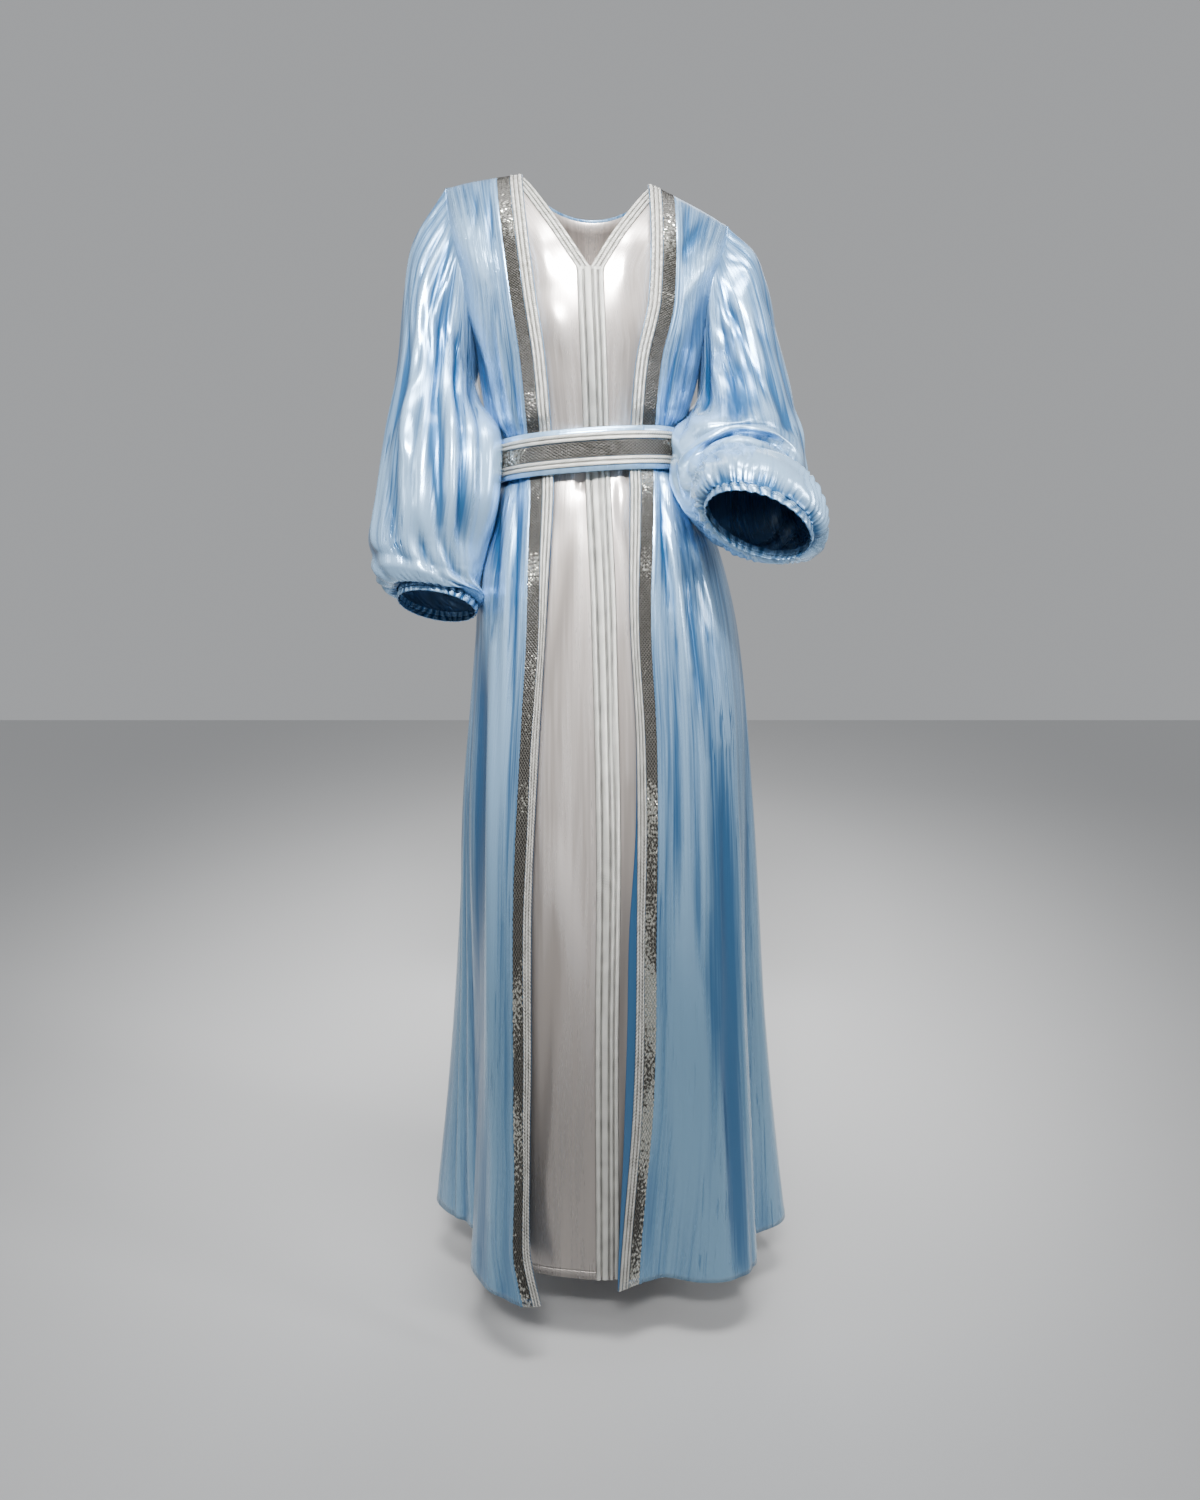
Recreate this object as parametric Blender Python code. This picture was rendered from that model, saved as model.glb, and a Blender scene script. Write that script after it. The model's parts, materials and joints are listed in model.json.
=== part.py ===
"""A two-piece Moroccan kaftan set, worn: a sleeveless under-dress, an open over-robe with
bishop sleeves, and a belt. Every cut piece of cloth and every trim is its own closed wall.

Frame: metres, +Z up, the wearer faces -Y, and +X is the wearer's left. The origin is midway
between the two points where the garment rests beside the neck.
"""

import bmesh
import bpy
from math import cos, pi, radians, sin, sqrt
from mathutils import Vector

# ---------------------------------------------------------------- driving sizes

ROBE_LENGTH = 1.405  # shoulder line to hem
DRESS_LENGTH = 1.395
V_NECK_DEPTH = 0.134
NECK_HALF = 0.078  # half the neck opening at the shoulder line
BACK_NECK_DROP = 0.022
UNDERARM = 0.215  # depth of the underarm below the shoulder line
ARMHOLE_SWEEP = radians(24)  # how far the armhole cuts round to the front and the back

CLOTH = 0.0012
SEAM = 0.0003  # gap between neighbouring pieces
TRIM = 0.0015
BRAID_WIDTH = 0.0145
MIRROR_WIDTH = 0.015
NECK_BRAID_WIDTH = 0.0165
CENTRE_BRAID_HALF = 0.0155

BELT_DEPTH = 0.335  # the belt's middle line, below the shoulder line
BELT_HEIGHT = 0.049
BELT_TILT = 0.07  # rise for each metre towards the wearer's left
BELT_STANDOFF = 0.0076
BELT_CLOTH = 0.0018
BELT_BORDER = 0.005  # the plain satin edge outside the belt's braids
BELT_BRAID = 0.0100

CUFF_INSET = 0.005  # from the sleeve's last ring in to the cuff's inner face
CUFF_WALL = 0.0018
CUFF_LENGTH = 0.014

SHOULDER_ROUND = 0.115  # depth over which the shoulder ridge rounds to the full chest
SHOULDER_SLOPE = {-1: 0.175, 1: 0.355}  # on the wearer's right and left, outside the neck
SHOULDER_TILT = -0.075  # the left shoulder is the lower one
NECK_SINK = 0.009  # the neck points lie this far below the top of the shoulder ridge
SQUARE = 0.03  # how far the body sections are from plain ellipses

# Body sections: depth below the shoulder line, then centre, half width, front and back reach.
ROBE_SECTIONS = (
    (0.000, 0.000, 0.172, 0.100, 0.085),
    (0.050, 0.000, 0.170, 0.108, 0.092),
    (0.100, 0.000, 0.163, 0.118, 0.098),
    (0.150, 0.001, 0.152, 0.127, 0.101),
    (0.200, 0.002, 0.142, 0.130, 0.101),
    (0.255, 0.002, 0.133, 0.119, 0.095),
    (0.290, 0.001, 0.1240, 0.1080, 0.0860),
    (0.309, 0.001, 0.1120, 0.0975, 0.0790),
    (0.335, 0.001, 0.1095, 0.0950, 0.0770),
    (0.361, 0.002, 0.1120, 0.0975, 0.0790),
    (0.375, 0.004, 0.1210, 0.1025, 0.0840),
    (0.400, 0.007, 0.1320, 0.1075, 0.0890),
    (0.460, 0.015, 0.1550, 0.1200, 0.1020),
    (0.565, 0.024, 0.1730, 0.1340, 0.1220),
    (0.780, 0.0235, 0.1955, 0.1500, 0.1460),
    (1.070, 0.025, 0.2180, 0.1600, 0.1680),
    (1.405, 0.027, 0.2560, 0.1650, 0.1950),
)
DRESS_SECTIONS = (
    (0.000, 0.000, 0.164, 0.094, 0.080),
    (0.050, 0.000, 0.162, 0.101, 0.086),
    (0.100, 0.000, 0.155, 0.111, 0.092),
    (0.150, 0.001, 0.144, 0.119, 0.095),
    (0.200, 0.002, 0.134, 0.121, 0.094),
    (0.255, 0.002, 0.120, 0.110, 0.087),
    (0.335, 0.001, 0.1030, 0.0885, 0.0710),
    (0.400, 0.005, 0.1170, 0.0980, 0.0800),
    (0.460, 0.010, 0.1300, 0.1080, 0.0920),
    (0.565, 0.014, 0.1430, 0.1200, 0.1060),
    (0.780, 0.014, 0.1500, 0.1330, 0.1180),
    (1.070, 0.012, 0.1520, 0.1400, 0.1280),
    (1.405, 0.010, 0.1490, 0.1430, 0.1350),
)
# The robe's hem swings out and in round the wearer: angle from the front, share of the section.
ROBE_SWING = (
    (-180, 0.98), (-150, 1.01), (-125, 0.93), (-101, 1.01), (-86, 0.81), (-70, 0.73),
    (-53, 0.865), (-28, 1.08), (-14, 1.16), (3, 0.93), (12, 0.83), (20, 0.80), (29, 0.90),
    (44, 0.97), (57, 0.90), (70, 0.80), (86, 0.975), (96, 1.00), (120, 0.93), (150, 1.02),
    (180, 0.98),
)
# Where the robe's two front edges run: depth, x.
RIGHT_EDGE = (
    (0.00, -0.0780), (0.17, -0.0557), (0.24, -0.0456), (0.335, -0.0400), (0.39, -0.0391),
    (0.52, -0.0476), (0.68, -0.0608), (0.81, -0.0696), (0.94, -0.0741), (1.07, -0.0771),
    (1.33, -0.0780), (1.405, -0.0600),
)
LEFT_EDGE = (
    (0.00, 0.0735), (0.17, 0.0707), (0.24, 0.0567), (0.335, 0.0510), (0.39, 0.0512),
    (0.52, 0.0512), (0.68, 0.0600), (0.94, 0.0623), (1.07, 0.0608), (1.20, 0.0556), (1.405, 0.0398),
)
# The dress's centre front line: depth, x.
CENTRE_FRONT = (
    (0.00, 0.005), (0.134, 0.005), (0.24, 0.009), (0.39, 0.0142), (0.52, 0.0203), (0.81, 0.0265),
    (1.07, 0.0250), (1.405, 0.0260),
)

# Rings down each sleeve: centre, the vector to its outer side, the vector to its front.
RIGHT_ARM = (
    ((-0.164, 0.000, -0.115), (-0.010, 0.000, 0.100), (0.000, -0.050, 0.000)),
    ((-0.178, -0.002, -0.167), (-0.038, 0.000, 0.080), (0.000, -0.058, 0.000)),
    ((-0.184, -0.016, -0.243), (-0.050, 0.006, 0.030), (0.000, -0.064, 0.000)),
    ((-0.181, -0.053, -0.313), (-0.065, 0.018, 0.006), (-0.006, -0.066, 0.000)),
    ((-0.187, -0.068, -0.385), (-0.070, 0.020, 0.000), (-0.006, -0.067, 0.000)),
    ((-0.200, -0.070, -0.440), (-0.067, 0.006, 0.006), (0.000, -0.066, 0.002)),
    ((-0.197, -0.073, -0.474), (-0.063, 0.002, 0.016), (0.000, -0.064, 0.010)),
    ((-0.193, -0.075, -0.496), (-0.0575, 0.000, 0.010), (0.000, -0.058, 0.016)),
    ((-0.184, -0.077, -0.509), (-0.0515, 0.001, 0.006), (0.000, -0.048, 0.021)),
)
LEFT_ARM = (
    ((0.165, 0.000, -0.130), (0.010, 0.000, 0.100), (0.000, -0.050, 0.000)),
    ((0.176, -0.002, -0.184), (0.037, 0.000, 0.080), (0.000, -0.058, 0.000)),
    ((0.184, -0.020, -0.254), (0.056, 0.008, 0.030), (0.006, -0.064, 0.000)),
    ((0.187, -0.062, -0.314), (0.072, 0.020, 0.004), (0.006, -0.062, 0.012)),
    ((0.189, -0.082, -0.362), (0.077, 0.018, -0.004), (0.006, -0.046, 0.050)),
    ((0.192, -0.120, -0.390), (0.072, 0.006, -0.010), (0.000, -0.012, 0.062)),
    ((0.190, -0.168, -0.402), (0.068, 0.000, -0.014), (0.000, -0.006, 0.058)),
    ((0.188, -0.212, -0.412), (0.066, -0.002, -0.018), (0.000, -0.028, 0.046)),
    ((0.185, -0.236, -0.424), (0.060, 0.000, -0.018), (-0.003, -0.036, 0.032)),
)

ROBE_LEVELS = (
    0.0, 0.008, 0.025, 0.05, 0.08, 0.11, 0.145, 0.18, 0.215, 0.26, 0.305, 0.335, 0.365,
    0.41, 0.47, 0.55, 0.66, 0.80, 0.97, 1.17, ROBE_LENGTH,
)
DRESS_LEVELS = (
    0.0, 0.012, 0.035, 0.065, 0.10, V_NECK_DEPTH, 0.175, UNDERARM, 0.27, BELT_DEPTH, 0.41, 0.52, 0.68,
    0.90, 1.14, DRESS_LENGTH,
)
BACK_LEVELS = (
    0.0, 0.012, 0.035, 0.07, 0.11, 0.16, UNDERARM, 0.27, BELT_DEPTH, 0.41, 0.52, 0.70, 0.96, DRESS_LENGTH,
)


# ---------------------------------------------------------------- reading curves

def read(stations, at):
    """The values at one place on the smooth curve through stations of (place, value, ...)."""
    at = min(max(at, stations[0][0]), stations[-1][0])
    last = len(stations) - 1
    i = max(k for k in range(last) if stations[k][0] <= at)

    def slope(k, column):
        low, high = max(k - 1, 0), min(k + 1, last)
        return (stations[high][column] - stations[low][column]) / (stations[high][0] - stations[low][0])

    step = stations[i + 1][0] - stations[i][0]
    t = (at - stations[i][0]) / step
    values = []
    for column in range(1, len(stations[0])):
        start, end = stations[i][column], stations[i + 1][column]
        values.append(
            start * (2 * t**3 - 3 * t**2 + 1)
            + end * (3 * t**2 - 2 * t**3)
            + step * slope(i, column) * (t**3 - 2 * t**2 + t)
            + step * slope(i + 1, column) * (t**3 - t**2)
        )
    return values if len(values) > 1 else values[0]


def blend(start, end, at):
    """0 before start, 1 after end, and a soft rise between them."""
    t = min(max((at - start) / (end - start), 0), 1)
    return t * t * (3 - 2 * t)


# ---------------------------------------------------------------- the forms that cloth follows

def body_form(sections, swing, under):
    """A surface round the body: angle from the front (+ to the wearer's left) and depth give a point."""

    def form(angle, depth):
        centre, half, front, back = read(sections, depth)
        ridge = min(max(depth / SHOULDER_ROUND, 0), 1)
        rounding = sqrt(1 - (1 - ridge) ** 2)
        reach = (front if cos(angle) > 0 else back) * rounding
        x = half * (sin(angle) + SQUARE * sin(3 * angle)) / (1 - SQUARE)
        y = -reach * (cos(angle) - SQUARE * cos(3 * angle)) / (1 - SQUARE)
        if swing:
            fall = max((depth - 0.36) / (ROBE_LENGTH - 0.36), 0) ** 1.6
            turned = (angle + pi) % (2 * pi) - pi
            share = 1 + fall * (read(swing, turned * 180 / pi) - 1)
            x, y = x * share, y * share
        x += centre
        slope = SHOULDER_SLOPE[-1 if x < 0 else 1]
        drop = (NECK_SINK + slope * max(0, abs(x) - NECK_HALF)) * (1 - blend(0, UNDERARM, depth))
        tilt = SHOULDER_TILT * (1 - blend(0, 0.2, depth)) + BELT_TILT * (
            blend(0.2, 0.3, depth) - blend(0.37, 0.6, depth)
        )
        return Vector((x, y, -depth - drop + tilt * x - under * (1 - blend(0, 0.2, depth))))

    return form


robe = body_form(ROBE_SECTIONS, ROBE_SWING, 0)
dress = body_form(DRESS_SECTIONS, None, 0.0045)


def angle_at(form, x, depth):
    """The angle on the front of a form at which it passes a given x."""
    low, high = -pi / 2, pi / 2
    for _ in range(30):
        middle = (low + high) / 2
        if form(middle, depth).x < x:
            low = middle
        else:
            high = middle
    return (low + high) / 2


def armhole(depth):
    """How far from the side, as an angle, the armhole's edge lies at this depth."""
    if depth >= UNDERARM:
        return 0
    return ARMHOLE_SWEEP * sin(pi * depth / UNDERARM) ** 0.8


def lifted(form, angle, depth, lift):
    """The point of a form at an angle and depth, moved out along the form's own normal."""
    step = 1e-3
    across = form(angle + step, depth + 1e-4) - form(angle - step, depth + 1e-4)
    down = form(angle, depth + step) - form(angle, max(depth - step, 0))
    return form(angle, depth) + down.cross(across).normalized() * lift


def on_panel(form, angle, depth, lift):
    """A panel's point, kept half a seam's gap off the shoulder seam's own plane."""
    at = lifted(form, angle, depth, lift)
    if depth < SEAM:
        at.y = -SEAM / 2 if cos(angle) > 0 else SEAM / 2
    return at


# ---------------------------------------------------------------- making walls

def material(name, colour, roughness, metallic):
    made = bpy.data.materials.new(name)
    made.use_nodes = True
    shader = made.node_tree.nodes["Principled BSDF"]
    shader.inputs["Base Color"].default_value = (*colour, 1)
    shader.inputs["Roughness"].default_value = roughness
    shader.inputs["Metallic"].default_value = metallic
    return made


def wall(name, finish, point, columns, rows, inner, outer, ring=False):
    """A closed wall: a grid of columns and rows placed by point(column, row, lift), then given thickness."""
    bm = bmesh.new()
    bmesh.ops.create_grid(bm, x_segments=columns, y_segments=rows, size=0.5)
    column_of = bm.verts.layers.float.new("column")
    row_of = bm.verts.layers.float.new("row")
    for vert in bm.verts:
        vert[column_of] = round((vert.co.x + 0.5) * columns)
        vert[row_of] = round((0.5 - vert.co.y) * rows)
        vert.co = point(int(vert[column_of]) % (columns if ring else columns + 1), int(vert[row_of]), inner)
    if ring:
        bmesh.ops.remove_doubles(bm, verts=bm.verts, dist=1e-6)
    made = bmesh.ops.extrude_face_region(bm, geom=bm.faces[:], use_keep_orig=True)
    for vert in (item for item in made["geom"] if isinstance(item, bmesh.types.BMVert)):
        vert.co = point(int(vert[column_of]) % (columns if ring else columns + 1), int(vert[row_of]), outer)
    bmesh.ops.recalc_face_normals(bm, faces=bm.faces)
    if bm.calc_volume(signed=True) < 0:
        bmesh.ops.reverse_faces(bm, faces=bm.faces)
    mesh = bpy.data.meshes.new(name)
    bm.to_mesh(mesh)
    bm.free()
    mesh.shade_smooth()
    mesh.set_sharp_from_angle(angle=radians(50))
    mesh.materials.append(finish)
    piece = bpy.data.objects.new(name, mesh)
    bpy.context.scene.collection.objects.link(piece)
    return piece


# ---------------------------------------------------------------- robe

def robe_front_angle(side, column, depth):
    """Columns from the front edge to the side seam: the two trims' edges come first, then even steps."""
    edge = read(LEFT_EDGE if side > 0 else RIGHT_EDGE, depth)
    offsets = (0, BRAID_WIDTH, BRAID_WIDTH + SEAM, BRAID_WIDTH + SEAM + MIRROR_WIDTH)
    if column < len(offsets):
        return angle_at(robe, edge + side * offsets[column], depth)
    trims_end = angle_at(robe, edge + side * offsets[-1], depth)
    seam = side * (pi / 2 - armhole(depth)) - side * SEAM / 2 / 0.15
    steps = ROBE_FRONT_COLUMNS - len(offsets) + 1
    share = (column - len(offsets) + 1) / steps
    return trims_end + (seam - trims_end) * share


ROBE_FRONT_COLUMNS = 11
ROBE_BACK_COLUMNS = 20


def robe_front_point(side):
    def point(column, row, lift):
        depth = ROBE_LEVELS[row]
        return on_panel(robe, robe_front_angle(side, column, depth), depth, lift)

    return point


def back_neck_dip(form, angle):
    """How far the back's top edge dips below the shoulder line at this angle."""
    x = form(angle, 0).x
    return BACK_NECK_DROP * max(0, 1 - (x / NECK_HALF) ** 2)


def back_point(form, columns, levels, sweep):
    def point(column, row, lift):
        depth = levels[row]
        half_turn = pi / 2 - sweep(depth) - SEAM / 2 / 0.15
        angle = pi + half_turn * (1 - 2 * column / columns)
        depth += back_neck_dip(form, angle) * (1 - blend(0, 0.1, depth))
        return on_panel(form, angle, depth, lift)

    return point


def make_robe(satin):
    levels = len(ROBE_LEVELS) - 1
    wall("robe_back", satin, back_point(robe, ROBE_BACK_COLUMNS, ROBE_LEVELS, armhole),
         ROBE_BACK_COLUMNS, levels, 0, CLOTH)
    for side, name in ((-1, "right"), (1, "left")):
        wall(f"robe_front_{name}", satin, robe_front_point(side), ROBE_FRONT_COLUMNS, levels, 0, CLOTH)


def make_robe_trims(braid, mirrors):
    """Each front edge carries a braid and, outside it, a band of mirror mesh."""
    levels = len(ROBE_LEVELS) - 1
    base = CLOTH + SEAM
    for side, name in ((-1, "right"), (1, "left")):
        point = robe_front_point(side)
        wall(f"robe_braid_{name}", braid, point, 1, levels, base, base + TRIM)
        wall(f"robe_mirror_{name}", mirrors, lambda c, r, lift, p=point: p(c + 2, r, lift),
             1, levels, base, base + TRIM)


# ---------------------------------------------------------------- sleeves

LOOP_LEVELS = tuple(level for level in ROBE_LEVELS if level <= UNDERARM)
SLEEVE_COLUMNS = 2 * (len(LOOP_LEVELS) - 1)
SLEEVE_ROWS = 14


def loop_point(side, column):
    """A point of the robe's armhole edge: down the front from the shoulder, and up the back."""
    half = SLEEVE_COLUMNS // 2
    level = LOOP_LEVELS[column if column <= half else SLEEVE_COLUMNS - column]
    turn = armhole(level) if column <= half else -armhole(level)
    return robe(side * (pi / 2 - turn), level)


def ring_point(arm, along, turn):
    """A point of the sleeve's own tube: along counts rings, turn goes from the outer side to the front."""
    ring = min(int(along), len(arm) - 2)
    t = along - ring

    def value(part):
        p = [Vector(arm[min(max(ring + k, 0), len(arm) - 1)][part]) for k in (-1, 0, 1, 2)]
        return 0.5 * (
            2 * p[1] + (p[2] - p[0]) * t
            + (2 * p[0] - 5 * p[1] + 4 * p[2] - p[3]) * t**2
            + (3 * p[1] - p[0] - 3 * p[2] + p[3]) * t**3
        )

    return value(0) + value(1) * cos(turn) + value(2) * sin(turn)


def sleeve_point(side, arm):
    """A sleeve column starts on the armhole's edge and runs into the tube."""

    def surface(turn, along):
        column = turn / (2 * pi) * SLEEVE_COLUMNS
        low = int(column // 1)
        part = column - low
        edge = loop_point(side, low % SLEEVE_COLUMNS).lerp(
            loop_point(side, (low + 1) % SLEEVE_COLUMNS), part
        )
        clear = 2 * SEAM + CLOTH * (1.5 - cos(turn) / 2)
        edge = edge + Vector((side * clear, 0, 0))
        stay = 1 - blend(0, 1.0, along)
        return ring_point(arm, along, turn) + (edge - ring_point(arm, 0, turn)) * stay

    def point(column, row, lift):
        turn = 2 * pi * column / SLEEVE_COLUMNS
        along = (len(arm) - 1) * row / SLEEVE_ROWS
        step = 1e-2
        across = surface(turn + step, along) - surface(turn - step + 2 * pi, along)
        down = surface(turn, min(along + step, len(arm) - 1)) - surface(turn, max(along - step, 0))
        normal = across.cross(down).normalized() * side
        return surface(turn, along) + normal * lift

    return point


def make_sleeves(satin):
    for side, name, arm in ((-1, "right", RIGHT_ARM), (1, "left", LEFT_ARM)):
        wall(f"sleeve_{name}", satin, sleeve_point(side, arm), SLEEVE_COLUMNS, SLEEVE_ROWS, 0, CLOTH, ring=True)
        centre, outward, front = (Vector(part) for part in arm[-1])
        axis = outward.cross(front).normalized() * side

        def cuff(column, row, lift):
            turn = 2 * pi * column / SLEEVE_COLUMNS
            inset = CUFF_INSET - lift
            across = outward * (1 - inset / outward.length) * cos(turn)
            up = front * (1 - inset / front.length) * sin(turn)
            return centre + axis * (row - 0.15) * CUFF_LENGTH + across + up

        wall(f"cuff_{name}", satin, cuff, SLEEVE_COLUMNS, 1, 0, CUFF_WALL, ring=True)


# ---------------------------------------------------------------- dress

DRESS_FRONT_COLUMNS = 7
DRESS_BACK_COLUMNS = 14


def dress_front_angle(side, column, depth):
    """Columns from the V neck or the centre front to the side seam; the first carries the braid."""
    centre = read(CENTRE_FRONT, depth)
    neck = NECK_HALF * max(0, 1 - depth / V_NECK_DEPTH)
    edge = centre * (1 if depth >= V_NECK_DEPTH else depth / V_NECK_DEPTH) + side * (neck + SEAM / 2)
    width = NECK_BRAID_WIDTH + (CENTRE_BRAID_HALF - NECK_BRAID_WIDTH) * blend(0.10, V_NECK_DEPTH, depth)
    if column == 0:
        return angle_at(dress, edge, depth)
    first = angle_at(dress, edge + side * width, depth)
    seam = side * (pi / 2 - armhole(depth)) - side * SEAM / 2 / 0.15
    return first + (seam - first) * (column - 1) / (DRESS_FRONT_COLUMNS - 1)


def dress_front_point(side):
    def point(column, row, lift):
        depth = DRESS_LEVELS[row]
        return on_panel(dress, dress_front_angle(side, column, depth), depth, lift)

    return point


def make_dress(satin, braid):
    wall("dress_back", satin, back_point(dress, DRESS_BACK_COLUMNS, BACK_LEVELS, armhole),
         DRESS_BACK_COLUMNS, len(BACK_LEVELS) - 1, 0, CLOTH)
    base = CLOTH + SEAM
    v_rows = DRESS_LEVELS.index(V_NECK_DEPTH)
    for side, name in ((-1, "right"), (1, "left")):
        point = dress_front_point(side)
        wall(f"dress_front_{name}", satin, point, DRESS_FRONT_COLUMNS, len(DRESS_LEVELS) - 1, 0, CLOTH)
        wall(f"neck_braid_{name}", braid, point, 1, v_rows, base, base + TRIM)

    def centre(column, row, lift):
        side = (-1, 1)[column // 2]
        at = dress_front_point(side)(abs(column - 1), row + v_rows, lift)
        if column == 1:
            at = (at + dress_front_point(-side)(0, row + v_rows, lift)) / 2
        if row == 0:
            at.z -= 2 * SEAM
        return at

    wall("centre_braid", braid, centre, 2, len(DRESS_LEVELS) - 1 - v_rows, base, base + TRIM)


# ---------------------------------------------------------------- belt

BELT_COLUMNS = 32


def belt_point(low, high):
    """A ring round the robe's waist between two shares of the belt's height, 0 at its top."""

    def point(column, row, lift):
        angle = 2 * pi * column / BELT_COLUMNS
        share = low + (high - low) * row
        at = lifted(robe, angle, BELT_DEPTH, BELT_STANDOFF + lift)
        at.z = -BELT_DEPTH + BELT_TILT * at.x + BELT_HEIGHT * (0.5 - share)
        return at

    return point


def make_belt(satin, braid, mirrors):
    wall("belt_band", satin, belt_point(0, 1), BELT_COLUMNS, 1, 0, BELT_CLOTH, ring=True)
    border, cord = BELT_BORDER / BELT_HEIGHT, BELT_BRAID / BELT_HEIGHT
    gap = SEAM / BELT_HEIGHT
    base = BELT_CLOTH + SEAM
    for name, finish, low, high in (
        ("belt_braid_upper", braid, border, border + cord),
        ("belt_mirror", mirrors, border + cord + gap, 1 - border - cord - gap),
        ("belt_braid_lower", braid, 1 - border - cord, 1 - border),
    ):
        wall(name, finish, belt_point(low, high), BELT_COLUMNS, 1, base, base + TRIM, ring=True)


# ---------------------------------------------------------------- the whole set

def main():
    for obj in list(bpy.data.objects):
        bpy.data.objects.remove(obj)
    sky_satin = material("sky_satin", (0.33, 0.58, 0.86), 0.22, 0.35)
    silver_satin = material("silver_satin", (0.60, 0.55, 0.52), 0.25, 0.45)
    silver_braid = material("silver_braid", (0.70, 0.70, 0.66), 0.35, 0.75)
    mirror_mesh = material("mirror_mesh", (0.30, 0.29, 0.25), 0.15, 0.95)
    make_robe(sky_satin)
    make_robe_trims(silver_braid, mirror_mesh)
    make_sleeves(sky_satin)
    make_dress(silver_satin, silver_braid)
    make_belt(sky_satin, silver_braid, mirror_mesh)


main()
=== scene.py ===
# %% [markdown]
# # A Moroccan kaftan set
# The set is three garments worn together: a sleeveless dress of silver satin, an open robe of
# sky-blue satin with full bishop sleeves, and a stiff belt. Silver cord braid and a band of small
# diamond mirrors run down the robe's front edges, round the belt and down the dress. The solid
# model is loaded first, as a frame that fixes every size, and each cloth is then made again as a
# thin shell with its folds on that solid's form.

# %% The solid model
import json
from math import cos, pi, radians, sin, sqrt

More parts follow.
